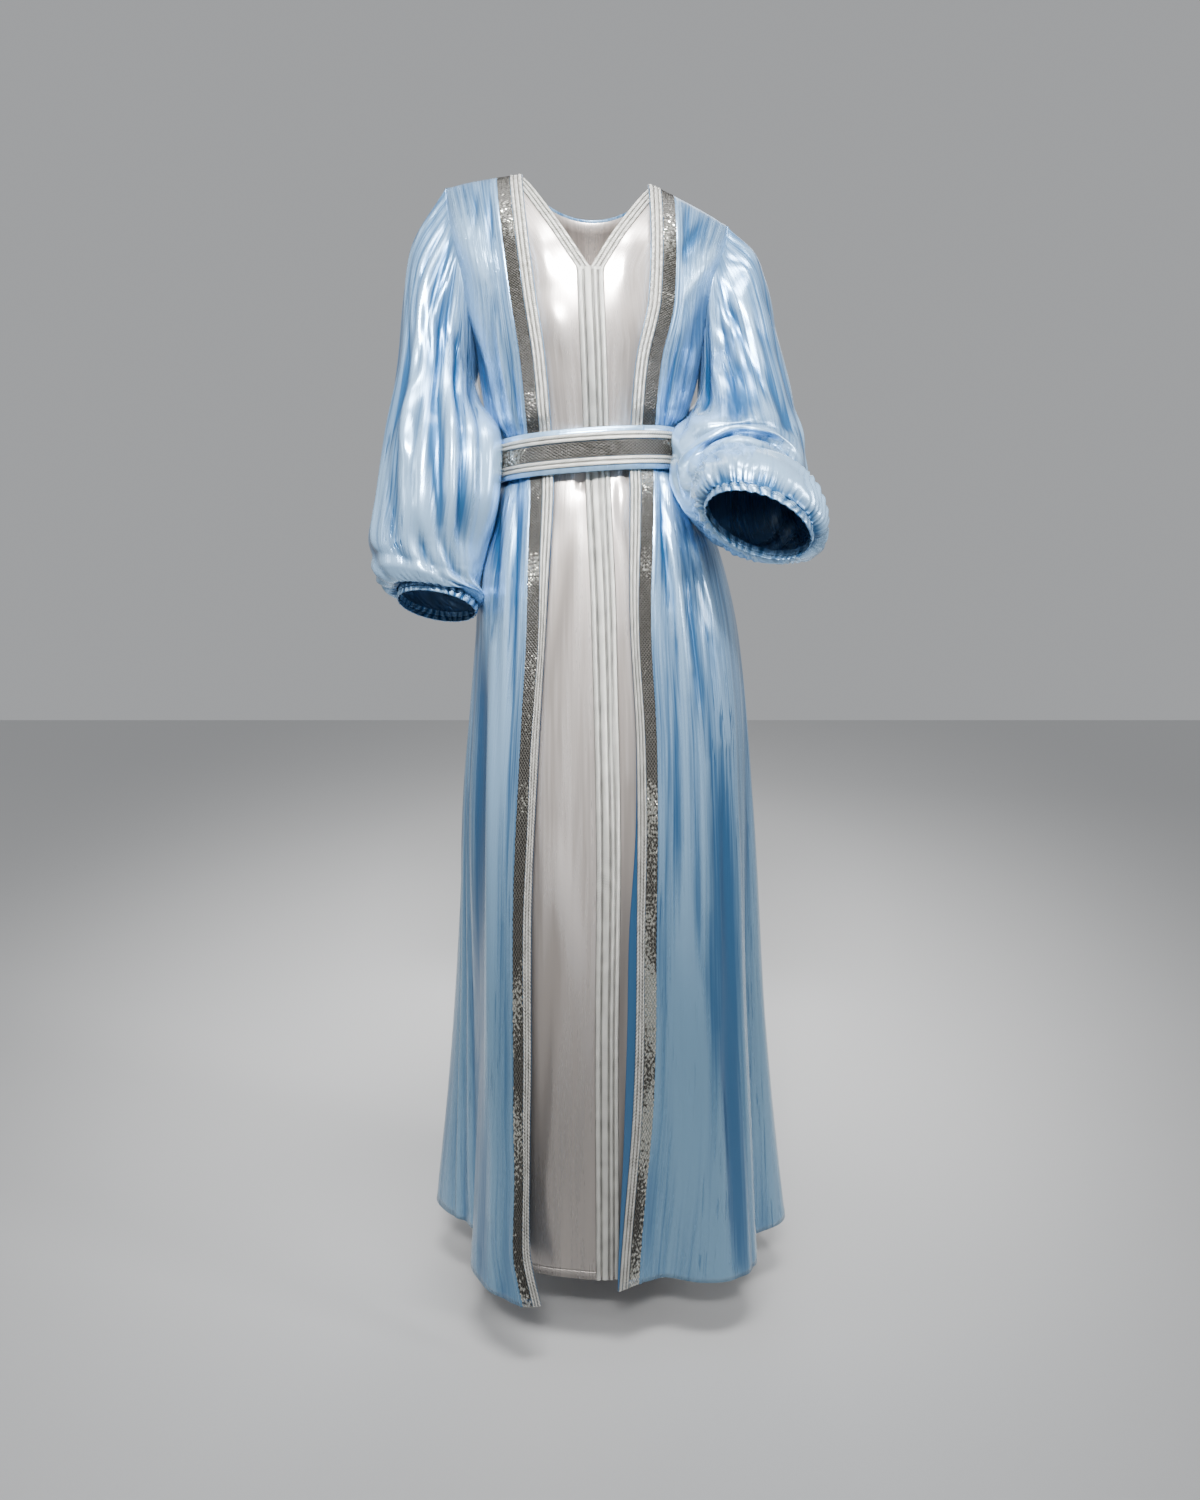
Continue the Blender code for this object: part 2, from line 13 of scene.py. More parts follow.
import bmesh
import bpy
import numpy as np
from mathutils import Vector
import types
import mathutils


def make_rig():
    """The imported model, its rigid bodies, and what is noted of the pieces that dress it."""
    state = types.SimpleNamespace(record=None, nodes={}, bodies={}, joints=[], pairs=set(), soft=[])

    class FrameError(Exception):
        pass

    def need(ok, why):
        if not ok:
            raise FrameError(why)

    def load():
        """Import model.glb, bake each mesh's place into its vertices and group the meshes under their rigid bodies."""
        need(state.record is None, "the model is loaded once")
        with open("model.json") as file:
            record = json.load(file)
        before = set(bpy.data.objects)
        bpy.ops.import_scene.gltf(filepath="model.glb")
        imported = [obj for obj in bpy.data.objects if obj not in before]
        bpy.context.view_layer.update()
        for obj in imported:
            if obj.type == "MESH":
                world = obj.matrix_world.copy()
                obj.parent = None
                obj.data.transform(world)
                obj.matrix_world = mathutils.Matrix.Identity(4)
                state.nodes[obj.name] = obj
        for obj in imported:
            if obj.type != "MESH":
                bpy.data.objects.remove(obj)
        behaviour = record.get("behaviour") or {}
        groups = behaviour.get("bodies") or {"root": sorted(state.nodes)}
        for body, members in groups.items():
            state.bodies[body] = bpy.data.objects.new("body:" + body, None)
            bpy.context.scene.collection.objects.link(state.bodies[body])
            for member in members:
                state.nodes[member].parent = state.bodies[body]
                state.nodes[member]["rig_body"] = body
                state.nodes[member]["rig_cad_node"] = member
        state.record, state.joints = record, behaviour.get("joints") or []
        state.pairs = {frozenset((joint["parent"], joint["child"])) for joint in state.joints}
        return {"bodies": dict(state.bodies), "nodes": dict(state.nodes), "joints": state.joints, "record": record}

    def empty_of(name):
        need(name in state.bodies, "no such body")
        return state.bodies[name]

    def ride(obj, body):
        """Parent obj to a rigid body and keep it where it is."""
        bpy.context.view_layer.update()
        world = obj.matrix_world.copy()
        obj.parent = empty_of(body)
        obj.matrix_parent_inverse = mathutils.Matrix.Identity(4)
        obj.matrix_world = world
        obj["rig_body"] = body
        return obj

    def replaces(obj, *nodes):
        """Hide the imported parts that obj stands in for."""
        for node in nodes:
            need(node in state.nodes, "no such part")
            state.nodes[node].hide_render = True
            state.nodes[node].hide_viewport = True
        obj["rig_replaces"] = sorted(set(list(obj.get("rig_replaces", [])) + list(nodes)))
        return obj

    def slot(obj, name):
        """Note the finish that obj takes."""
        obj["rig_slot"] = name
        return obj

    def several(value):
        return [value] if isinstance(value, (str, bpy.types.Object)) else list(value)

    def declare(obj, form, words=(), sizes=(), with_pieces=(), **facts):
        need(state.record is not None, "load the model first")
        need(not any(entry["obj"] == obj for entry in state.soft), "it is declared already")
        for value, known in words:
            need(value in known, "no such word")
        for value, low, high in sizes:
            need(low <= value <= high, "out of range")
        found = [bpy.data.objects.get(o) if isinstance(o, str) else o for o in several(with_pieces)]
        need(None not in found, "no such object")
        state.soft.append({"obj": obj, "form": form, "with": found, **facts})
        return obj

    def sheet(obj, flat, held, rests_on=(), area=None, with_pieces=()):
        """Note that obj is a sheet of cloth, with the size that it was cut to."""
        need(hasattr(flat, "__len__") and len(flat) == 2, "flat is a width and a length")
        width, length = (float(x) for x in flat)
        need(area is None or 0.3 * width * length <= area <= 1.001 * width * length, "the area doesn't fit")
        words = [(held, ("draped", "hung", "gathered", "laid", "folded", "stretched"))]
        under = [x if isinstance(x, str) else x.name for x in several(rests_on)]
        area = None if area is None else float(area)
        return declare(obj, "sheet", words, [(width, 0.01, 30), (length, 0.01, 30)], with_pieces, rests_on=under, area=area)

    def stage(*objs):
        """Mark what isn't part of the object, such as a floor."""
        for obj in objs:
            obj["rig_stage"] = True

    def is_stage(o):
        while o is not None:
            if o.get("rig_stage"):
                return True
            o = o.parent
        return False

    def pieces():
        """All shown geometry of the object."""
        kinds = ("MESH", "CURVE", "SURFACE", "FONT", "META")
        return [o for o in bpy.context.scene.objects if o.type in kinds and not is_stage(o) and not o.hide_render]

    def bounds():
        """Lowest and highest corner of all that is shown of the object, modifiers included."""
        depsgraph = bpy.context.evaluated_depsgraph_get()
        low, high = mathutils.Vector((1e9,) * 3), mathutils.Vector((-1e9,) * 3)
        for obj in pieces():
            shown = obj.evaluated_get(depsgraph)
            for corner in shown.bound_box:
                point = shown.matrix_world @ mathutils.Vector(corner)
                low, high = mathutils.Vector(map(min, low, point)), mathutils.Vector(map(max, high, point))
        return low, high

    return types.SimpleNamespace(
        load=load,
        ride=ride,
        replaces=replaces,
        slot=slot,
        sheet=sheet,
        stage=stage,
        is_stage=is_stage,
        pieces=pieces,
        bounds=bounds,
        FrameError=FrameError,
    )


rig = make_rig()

for left_over in list(bpy.data.objects):
    bpy.data.objects.remove(left_over)
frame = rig.load()
solid_box = [list(corner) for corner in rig.bounds()]
print("solid model from", solid_box[0], "to", solid_box[1])

# %% [markdown]
# ## Camera, floor and light
# Satin shows itself by what it mirrors, so the lights are wide soft panels: the key high at the
# front, one above, a weak one at each side and one behind. A wide panel gives the long white streaks
# of liquid satin, where a small lamp would give dots. The front ones open narrowly, so that they light
# the shoulders and the chest more than the floor.

# %% Camera
camera = bpy.data.objects.new("camera", bpy.data.cameras.new("camera"))
camera.data.lens = 23.09
camera.location = (0.016, -1.28, -0.495)
camera.rotation_euler = (radians(80.4), 0, 0)
bpy.context.scene.collection.objects.link(camera)
bpy.context.scene.camera = camera

# %% Floor
FLOOR = -1.495
bm = bmesh.new()
bmesh.ops.create_grid(bm, x_segments=1, y_segments=1, size=6)
bmesh.ops.translate(bm, verts=bm.verts, vec=(0, 0, FLOOR))
floor = bpy.data.objects.new("floor", bpy.data.meshes.new("floor"))
bm.to_mesh(floor.data)
bm.free()
bpy.context.scene.collection.objects.link(floor)
pale = bpy.data.materials.new("floor")
pale.use_nodes = True
pale.node_tree.nodes["Principled BSDF"].inputs["Base Color"].default_value = (0.66, 0.66, 0.66, 1)
pale.node_tree.nodes["Principled BSDF"].inputs["Roughness"].default_value = 0.8
floor.data.materials.append(pale)
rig.stage(floor)

# %% Lights
world = bpy.data.worlds.new("studio")
world.use_nodes = True
world.node_tree.nodes["Background"].inputs["Color"].default_value = (0.95, 0.97, 1.0, 1)
world.node_tree.nodes["Background"].inputs["Strength"].default_value = 0.42
bpy.context.scene.world = world


def panel_light(name, place, target, size, power, spread=180):
    """A soft rectangular light at place, facing target, that opens by spread in degrees."""
    lamp = bpy.data.objects.new(name, bpy.data.lights.new(name, "AREA"))
    lamp.data.shape = "RECTANGLE"
    lamp.data.size, lamp.data.size_y = size
    lamp.data.energy = power
    lamp.data.spread = radians(spread)
    lamp.location = place
    lamp.rotation_euler = (Vector(target) - Vector(place)).to_track_quat("-Z", "Y").to_euler()
    bpy.context.scene.collection.objects.link(lamp)


panel_light("key", (-0.1, -2.3, 1.25), (0.0, -0.1, -0.10), (0.9, 0.34), 19, 44)
panel_light("top", (0.1, -0.7, 1.5), (0.0, -0.05, -0.1), (1.2, 0.5), 9, 60)
panel_light("side_left", (-2.2, -0.7, 0.5), (0.0, 0.0, -0.1), (0.35, 1.2), 1, 70)
panel_light("side_right", (2.2, -0.9, 0.5), (0.0, 0.0, -0.2), (0.35, 1.2), 6, 70)
panel_light("back", (0.5, 2.4, 0.9), (0.0, 0.0, -0.5), (1.4, 1.4), 12)

# %% [markdown]
# ## Writing materials as sums
# A material is a graph of nodes. Written as sums and products it is shorter and easier to follow, so
# one small class stands for a socket and adds a Math node for each sum. Every other node comes from
# one method.

# %% Sockets that can be added
class Wire:
    """One socket of a finish. Sums and products of wires add their Math nodes."""

    def __init__(self, finish, socket):
        self.finish, self.socket = finish, socket

    def sum(self, operation, first, second):
        return self.finish.node("ShaderNodeMath", {"operation": operation}, {0: first, 1: second})

    def __add__(self, other):
        return self.sum("ADD", self, other)

    def __radd__(self, other):
        return self.sum("ADD", other, self)

    def __sub__(self, other):
        return self.sum("SUBTRACT", self, other)

    def __rsub__(self, other):
        return self.sum("SUBTRACT", other, self)

    def __mul__(self, other):
        return self.sum("MULTIPLY", self, other)

    def __rmul__(self, other):
        return self.sum("MULTIPLY", other, self)


class Finish:
    """A material and the one method that makes its nodes."""

    def __init__(self, name):
        self.material = bpy.data.materials.new(name)
        self.material.use_nodes = True
        self.tree = self.material.node_tree
        self.surface = self.tree.nodes["Principled BSDF"]

    def node(self, kind, settings=None, sockets=None, out=0):
        made = self.tree.nodes.new(kind)
        for key, value in (settings or {}).items():
            setattr(made, key, value)
        for key, value in (sockets or {}).items():
            self.plug(made.inputs[key], value)
        return Wire(self, made.outputs[out])

    def plug(self, socket, value):
        if isinstance(value, Wire):
            self.tree.links.new(value.socket, socket)
        else:
            socket.default_value = value

    def set(self, **values):
        for key, value in values.items():
            self.plug(self.surface.inputs[key.replace("_", " ")], value)

    def cut(self, across=1, along=1):
        """The place on the flat cut, in metres, stretched by a number each way."""
        place = self.node("ShaderNodeUVMap", {"uv_map": "cut"})
        return self.node("ShaderNodeMapping", {}, {"Vector": place, "Scale": (across, along, 1)})

    def noise(self, vector, detail=2.0, roughness=0.5, distortion=0.0):
        return self.node("ShaderNodeTexNoise", {"normalize": True},
                         {"Vector": vector, "Scale": 1.0, "Detail": detail,
                          "Roughness": roughness, "Distortion": distortion})

    def reading(self, name):
        """A number stored on the mesh's points."""
        return self.node("ShaderNodeAttribute", {"attribute_name": name}, out=2)

    def step(self, value, low, high):
        """0 below low, 1 above high, and a soft rise between."""
        return self.node("ShaderNodeMapRange", {"interpolation_type": "SMOOTHSTEP"},
                         {"Value": value, "From Min": low, "From Max": high})

    def mixed(self, share, first, second):
        return self.node("ShaderNodeMix", {"data_type": "RGBA"},
                         {0: share, 6: first, 7: second}, out=2)

    def bump(self, height, distance):
        sockets = {"Height": height, "Distance": distance, "Strength": 1.0}
        self.set(Normal=self.node("ShaderNodeBump", {}, sockets))


# %% [markdown]
# ## Crinkled satin
# Liquid satin is a polyester satin with a metallic sheen that is heat-set into fine lengthwise
# crinkles. The large folds are in the mesh. The fine crinkles are a noise stretched along the cloth
# and read as bump. Shade is also painted into the colour: it deepens in the valleys of the folds,
# the crinkles and the pinches, as painted shade where the cloth mirrors itself. Low on the skirt the
# light colour gives way to a duller one, painted shade where less light falls and the real cloth
# mirrors the dark floor.

# %% Satin
def satin(name, light, valley_shade, low_skirt_shade, crinkle, marks, metal, gloss):
    made = Finish(name)
    fold = made.reading("fold")
    fine = made.noise(made.cut(190, 7.0), detail=2.5, roughness=0.55, distortion=0.3)
    broad = made.noise(made.cut(46, 3.2), detail=2.0, roughness=0.5, distortion=0.4)
    slub = made.noise(made.cut(900, 60), detail=1.0)
    pinch = made.noise(made.cut(230, 19), detail=1.0, distortion=0.4)
    patch = made.step(made.noise(made.cut(9, 3.4), detail=1.0), 0.47, 0.62)
    mark = made.step(pinch, 0.60, 0.70) * patch * marks
    stitch = 1 - made.step(made.reading("stitch"), 0.0005, 0.0016)
    height = fine * 0.40 + broad * 0.95 + slub * 0.04 - mark * 0.35
    made.bump(height * crinkle - stitch * 0.9, 0.0022)
    # Painted shade: the colour is darker in the valleys of the folds, the crinkles and the pinches.
    depth = made.step(fold * 0.70 + (broad - 0.5) * 0.9 + (fine - 0.5) * 1.1 - mark * 0.5, -0.42, 0.58)
    colour_with_valley_shade = made.mixed(depth, valley_shade, light)
    # Painted shade: low on the skirt the colour turns duller and darker, by the 'low' reading.
    low_skirt_shaded_colour = made.mixed(depth * 0.7 + 0.3, valley_shade, low_skirt_shade)
    made.set(Base_Color=made.mixed(made.reading("low") * 0.75, colour_with_valley_shade, low_skirt_shaded_colour))
    made.set(Roughness=gloss + slub * 0.05 + (1 - depth) * 0.08)
    made.set(Metallic=metal, Coat_Weight=0.25, Coat_Roughness=0.12)
    return made.material


# Each satin: lit colour, painted valley shade, painted shade low on the skirt, crinkle, pinches, metallic, roughness.
sky_satin = satin("sky_satin", (0.38, 0.62, 0.90, 1), (0.022, 0.105, 0.25, 1), (0.13, 0.26, 0.37, 1),
                  0.46, 1.0, 0.60, 0.22)
silver_satin = satin("silver_satin", (0.88, 0.81, 0.77, 1), (0.46, 0.41, 0.375, 1), (0.10, 0.092, 0.085, 1),
                     0.12, 0.15, 0.66, 0.22)

# %% [markdown]
# ## Cord braid and mirror mesh
# The braid is laid cord, each cord two strands of metallic thread twisted round one another. The
# cords are modelled, and the twist is finished by a slanting wave. Light and shade are painted into
# the braid's colour: the crowns of the cords and their twisted strands are painted light, their
# sides and the tape between them are painted dark as shade, and patches of painted glint run over
# them. The mirror mesh is a net of small raised diamonds, whose light is painted too: along the
# stretches set as lit the diamonds are painted as bright reflections in a dark net, and elsewhere
# they are painted black in a paler one.

# %% Braid and mirrors
def cord_finish():
    made = Finish("silver_braid")
    relief = made.reading("relief")
    strand = made.node("ShaderNodeTexWave", {"wave_type": "BANDS", "bands_direction": "DIAGONAL"},
                       {"Vector": made.cut(), "Scale": 230.0, "Distortion": 0.8, "Detail": 1.0}, out=1)
    glint_noise = made.noise(made.cut(90, 60), detail=3.0)
    # Painted highlight and shade: light on the cord crowns and strand twists, dark down their sides and on the tape,
    # with patches of painted glint.
    light = made.step(relief * 0.75 + strand * 0.45 + (glint_noise - 0.5) * 0.7, -0.1, 0.95)
    made.set(Base_Color=made.mixed(light, (0.07, 0.066, 0.056, 1), (0.76, 0.75, 0.70, 1)))
    made.set(Roughness=0.46 - light * 0.12, Metallic=0.45)
    made.bump(strand * 0.7 + relief * 0.3, 0.0006)
    return made.material


def mirror_finish():
    made = Finish("mirror_mesh")
    face = made.step(made.reading("relief"), 0.12, 0.20)
    each = made.noise(made.cut(330, 330), detail=0.0)
    zone = made.noise(made.cut(14, 11), detail=1.0) + (each - 0.5) * 0.55
    # Painted reflection: where the sheen table and the noise say lit, the glass is painted bright in a dark net;
    # elsewhere it is painted black in a paler net.
    lit = made.step(zone + made.reading("sheen"), 0.60, 0.72)
    glass = made.mixed(lit, (0.006, 0.005, 0.004, 1), (0.62, 0.60, 0.54, 1))
    thread = made.mixed(lit, (0.11, 0.105, 0.09, 1), (0.05, 0.075, 0.065, 1))
    made.set(Base_Color=made.mixed(face, thread, glass))
    made.set(Roughness=0.5 - face * lit * 0.34, Metallic=0.1 + face * lit * 0.8)
    return made.material


silver_braid = cord_finish()
mirror_mesh = mirror_finish()
print("materials:", ", ".join(m.name for m in (sky_satin, silver_satin, silver_braid, mirror_mesh)))

# %% [markdown]
# ## The worn form
# The cloth follows a smooth form round the body: a stack of rounded sections, each with its own
# centre, width and reach, joined by smooth curves. The same form shaped the solid model, so a cloth
# made on it lies where its solid lies.

# %% Driving sizes
ROBE_LENGTH = 1.405
DRESS_LENGTH = 1.395
V_NECK_DEPTH = 0.134
NECK_HALF = 0.078
BACK_NECK_DROP = 0.022
UNDERARM = 0.215
ARMHOLE_SWEEP = radians(24)
CLOTH = 0.0012
HEM = 0.0115
TRIM = 0.0015
BRAID_WIDTH = 0.0145
MIRROR_WIDTH = 0.015
BELT_DEPTH = 0.335
BELT_HEIGHT = 0.049
BELT_TILT = 0.07
BELT_STANDOFF = 0.0076
BELT_CLOTH = 0.0018
CUFF_INSET = 0.005
CUFF_LENGTH = 0.014
SHOULDER_ROUND = 0.115
SHOULDER_SLOPE = {-1: 0.175, 1: 0.355}
SHOULDER_TILT = -0.075
NECK_SINK = 0.009
SQUARE = 0.03

# %% Sections: depth, centre, half width, front reach, back reach
ROBE_SECTIONS = (
    (0.000, 0.000, 0.172, 0.100, 0.085),
    (0.050, 0.000, 0.170, 0.108, 0.092),
    (0.100, 0.000, 0.163, 0.118, 0.098),
    (0.150, 0.001, 0.152, 0.127, 0.101),
    (0.200, 0.002, 0.142, 0.130, 0.101),
    (0.255, 0.002, 0.133, 0.119, 0.095),
    (0.290, 0.001, 0.1240, 0.1080, 0.0860),
    (0.309, 0.001, 0.1120, 0.0975, 0.0790),
    (0.335, 0.001, 0.1095, 0.0950, 0.0770),
    (0.361, 0.002, 0.1120, 0.0975, 0.0790),
    (0.375, 0.004, 0.1210, 0.1025, 0.0840),
    (0.400, 0.007, 0.1320, 0.1075, 0.0890),
    (0.460, 0.015, 0.1550, 0.1200, 0.1020),
    (0.565, 0.024, 0.1730, 0.1340, 0.1220),
    (0.780, 0.0235, 0.1955, 0.1500, 0.1460),
    (1.070, 0.025, 0.2180, 0.1600, 0.1680),
    (1.405, 0.027, 0.2560, 0.1650, 0.1950),
)
DRESS_SECTIONS = (
    (0.000, 0.000, 0.164, 0.094, 0.080),
    (0.050, 0.000, 0.162, 0.101, 0.086),
    (0.100, 0.000, 0.155, 0.111, 0.092),
    (0.150, 0.001, 0.144, 0.119, 0.095),
    (0.200, 0.002, 0.134, 0.121, 0.094),
    (0.255, 0.002, 0.120, 0.110, 0.087),
    (0.335, 0.001, 0.1030, 0.0885, 0.0710),
    (0.400, 0.005, 0.1170, 0.0980, 0.0800),
    (0.460, 0.010, 0.1300, 0.1080, 0.0920),
    (0.565, 0.014, 0.1430, 0.1200, 0.1060),
    (0.780, 0.014, 0.1500, 0.1330, 0.1180),
    (1.070, 0.012, 0.1520, 0.1400, 0.1280),
    (1.405, 0.010, 0.1490, 0.1430, 0.1350),
)
ROBE_SWING = (
    (-180, 0.98), (-150, 1.01), (-125, 0.93), (-101, 1.01), (-86, 0.81), (-70, 0.73),
    (-53, 0.865), (-28, 1.08), (-14, 1.16), (3, 0.93), (12, 0.83), (20, 0.80), (29, 0.90),
    (44, 0.97), (57, 0.90), (70, 0.80), (86, 0.975), (96, 1.00), (120, 0.93), (150, 1.02),
    (180, 0.98),
)

# %% Where the open edges and the centre front run: depth, x
EDGES = {
    -1: (
        (0.00, -0.0780), (0.17, -0.0557), (0.24, -0.0456), (0.335, -0.0400), (0.39, -0.0391),
        (0.52, -0.0476), (0.68, -0.0608), (0.81, -0.0696), (0.94, -0.0741), (1.07, -0.0771),
        (1.33, -0.0780), (1.405, -0.0600),
    ),
    1: (
        (0.00, 0.0735), (0.17, 0.0707), (0.24, 0.0567), (0.335, 0.0510), (0.39, 0.0512),
        (0.52, 0.0512), (0.68, 0.0600), (0.94, 0.0623), (1.07, 0.0608), (1.20, 0.0556),
        (1.405, 0.0398),
    ),
}
CENTRE_FRONT = (
    (0.00, 0.005), (0.134, 0.005), (0.24, 0.009), (0.39, 0.0142), (0.52, 0.0203), (0.81, 0.0265),
    (1.07, 0.0250), (1.405, 0.0260),
)

# %% Curves and forms
def read(stations, at):
    """The values at places on the smooth curve through stations of (place, value, ...)."""
    table = np.array(stations, float)
    place, values = table[:, 0], table[:, 1:]
    slope = np.empty_like(values)
    slope[1:-1] = (values[2:] - values[:-2]) / (place[2:] - place[:-2])[:, None]
    slope[0] = (values[1] - values[0]) / (place[1] - place[0])
    slope[-1] = (values[-1] - values[-2]) / (place[-1] - place[-2])
    at = np.clip(at, place[0], place[-1])
    i = np.clip(np.searchsorted(place, at, side="right") - 1, 0, len(place) - 2)
    step = (place[i + 1] - place[i])[..., None]
    t = (at - place[i])[..., None] / step
    found = (
        values[i] * (2 * t**3 - 3 * t**2 + 1) + values[i + 1] * (3 * t**2 - 2 * t**3)
        + step * slope[i] * (t**3 - 2 * t**2 + t) + step * slope[i + 1] * (t**3 - t**2)
    )
    return found[..., 0] if found.shape[-1] == 1 else np.moveaxis(found, -1, 0)


def blend(start, end, at):
    """0 before start, 1 after end, and a soft rise between them."""
    t = np.clip((at - start) / (end - start), 0, 1)
    return t * t * (3 - 2 * t)


def hump(start, end, at, soft):
    """1 between start and end, 0 outside, with soft shoulders."""
    return blend(start - soft, start, at) * (1 - blend(end, end + soft, at))


def body_form(sections, swing, under):
    """A surface round the body: angle from the front (+ to the wearer's left) and depth give a point."""

    def form(angle, depth):
        centre, half, front, back = read(sections, depth)
        rounding = np.sqrt(1 - (1 - np.clip(depth / SHOULDER_ROUND, 0, 1)) ** 2)
        reach = np.where(np.cos(angle) > 0, front, back) * rounding
        x = half * (np.sin(angle) + SQUARE * np.sin(3 * angle)) / (1 - SQUARE)
        y = -reach * (np.cos(angle) - SQUARE * np.cos(3 * angle)) / (1 - SQUARE)
        if swing:
            fall = np.clip((depth - 0.36) / (ROBE_LENGTH - 0.36), 0, None) ** 1.6
            turned = (angle + pi) % (2 * pi) - pi
            share = 1 + fall * (read(swing, turned * 180 / pi) - 1)
            x, y = x * share, y * share
        x = x + centre
        slope = np.where(x < 0, SHOULDER_SLOPE[-1], SHOULDER_SLOPE[1])
        drop = (NECK_SINK + slope * np.clip(np.abs(x) - NECK_HALF, 0, None)) * (
            1 - blend(0, UNDERARM, depth))
        tilt = SHOULDER_TILT * (1 - blend(0, 0.2, depth)) + BELT_TILT * (
            blend(0.2, 0.3, depth) - blend(0.37, 0.6, depth))
        z = -depth - drop + tilt * x - under * (1 - blend(0, 0.2, depth))
        return np.stack((x, y, z), -1)

    return form


robe_form = body_form(ROBE_SECTIONS, ROBE_SWING, 0)
dress_form = body_form(DRESS_SECTIONS, None, 0.0045)


def angle_at(form, x, depth):
    """The angle on the front of a form at which it passes a given x."""
    low, high = np.full_like(x, -pi / 2), np.full_like(x, pi / 2)
    for _ in range(24):
        middle = (low + high) / 2
        short = form(middle, depth)[..., 0] < x
        low, high = np.where(short, middle, low), np.where(short, high, middle)
    return (low + high) / 2


def armhole(depth):
    """How far from the side, as an angle, the armhole's edge lies at this depth."""
    share = np.clip(depth / UNDERARM, 0, 1)
    return ARMHOLE_SWEEP * np.clip(np.sin(pi * share), 0, None) ** 0.8


def lifted(form, angle, depth, lift):
    """The point of a form at an angle and depth, moved out along the form's own normal."""
    step = 1e-3
    across = form(angle + step, depth + 1e-4) - form(angle - step, depth + 1e-4)
    down = form(angle, depth + step) - form(angle, np.clip(depth - step, 0, None))
    normal = np.cross(down, across)
    normal /= np.linalg.norm(normal, axis=-1, keepdims=True) + 1e-12
    return form(angle, depth) + normal * lift[..., None]


# %% [markdown]
# ## Folds
# Gathered satin falls in rounded folds with narrow valleys between them, which wander, fade and run
# into one another. A rectified sine has that section. Its phase and its height drift with a smooth
# random field, which has a fixed seed, so the folds are the same each time.

# %% Folds
def drift(x, y, seed):
    """Smooth random hills and hollows between -1 and 1, about one to each unit."""
    table = np.random.default_rng(seed).uniform(-1, 1, (64, 64))
    i, j = np.floor(x).astype(int), np.floor(y).astype(int)
    s, t = x - i, y - j
    s, t = s * s * (3 - 2 * s), t * t * (3 - 2 * t)
    near = table[i % 64, j % 64] * (1 - s) + table[(i + 1) % 64, j % 64] * s
    far = table[i % 64, (j + 1) % 64] * (1 - s) + table[(i + 1) % 64, (j + 1) % 64] * s
    return near * (1 - t) + far * t


def pleats(across, along, count, seed, wander=1.3, sharp=0.05):
    """Rounded folds with narrow valleys, count of them to each unit across, from -0.6 to 0.4."""
    phase = pi * count * across + pi * wander * drift(across * count * 0.45 + 9, along, seed)
    tall = 0.62 + 0.48 * drift(across * count * 0.6 + 31, along * 1.6, seed + 1)
    return (np.sqrt(np.sin(phase) ** 2 + sharp) - 0.62) * tall


def creases(x, y, lines):
    """Soft ridges and troughs, listed one by one: each is (x, y) to (x, y), its half width and its rise."""
    total = np.zeros(np.broadcast(x, y).shape)
    for x0, y0, x1, y1, half, rise in lines:
        run = (x1 - x0) ** 2 + (y1 - y0) ** 2
        t = np.clip(((x - x0) * (x1 - x0) + (y - y0) * (y1 - y0)) / run, 0, 1)
        apart = (x - x0 - t * (x1 - x0)) ** 2 + (y - y0 - t * (y1 - y0)) ** 2
        total += rise * (0.25 + 0.75 * np.sin(pi * t)) * np.exp(-apart / half**2)
    return total


# On the robe's front: x, depth, x, depth, half width, rise
ROBE_CREASES = (
    (-0.129, 0.030, -0.127, 0.095, 0.0035, -0.0020), (-0.111, 0.035, -0.108, 0.110, 0.0040, -0.0022),
    (-0.150, 0.055, -0.112, 0.150, 0.0160, 0.0055), (-0.140, 0.130, -0.118, 0.235, 0.0100, 0.0030),
    (-0.143, 0.175, -0.104, 0.300, 0.0060, -0.0040),
    (-0.104, 0.190, -0.085, 0.306, 0.0045, 0.0028), (-0.094, 0.215, -0.078, 0.306, 0.0035, -0.0022),
    (-0.123, 0.230, -0.097, 0.308, 0.0050, 0.0026),
    (0.155, 0.060, 0.112, 0.160, 0.0080, 0.0048), (0.138, 0.030, 0.104, 0.120, 0.0060, -0.0034),
    (0.118, 0.020, 0.113, 0.080, 0.0040, -0.0022), (0.100, 0.015, 0.098, 0.075, 0.0035, 0.0018),
    (0.140, 0.150, 0.106, 0.285, 0.0065, -0.0040), (0.128, 0.190, 0.100, 0.305, 0.0045, 0.0028),
    (0.108, 0.210, 0.092, 0.306, 0.0035, -0.0024),
    (-0.083, 0.366, -0.090, 0.640, 0.0035, -0.0034), (-0.093, 0.366, -0.104, 0.900, 0.0060, 0.0034),
    (-0.107, 0.368, -0.113, 0.560, 0.0045, -0.0036), (-0.120, 0.372, -0.130, 0.620, 0.0060, 0.0030),
    (-0.112, 0.480, -0.124, 1.300, 0.0090, 0.0050), (-0.130, 0.520, -0.150, 1.360, 0.0110, -0.0080),
    (0.088, 0.366, 0.124, 0.430, 0.0060, 0.0050), (0.100, 0.368, 0.142, 0.440, 0.0050, -0.0034),
    (0.080, 0.368, 0.100, 0.520, 0.0045, -0.0030), (0.094, 0.372, 0.120, 0.620, 0.0055, 0.0034),
    (0.110, 0.400, 0.148, 0.700, 0.0060, -0.0034), (0.120, 0.420, 0.160, 0.560, 0.0050, 0.0030),
    (0.105, 0.560, 0.112, 0.930, 0.0045, -0.0026), (0.128, 0.600, 0.140, 1.000, 0.0050, -0.0030),
    (0.136, 0.640, 0.146, 0.960, 0.0040, 0.0024), (0.150, 0.560, 0.166, 1.050, 0.0055, -0.0030),
    (0.118, 0.820, 0.124, 1.250, 0.0090, 0.0036), (0.150, 0.900, 0.164, 1.340, 0.0080, -0.0036),
    (0.172, 0.700, 0.196, 1.380, 0.0120, -0.0080),
)


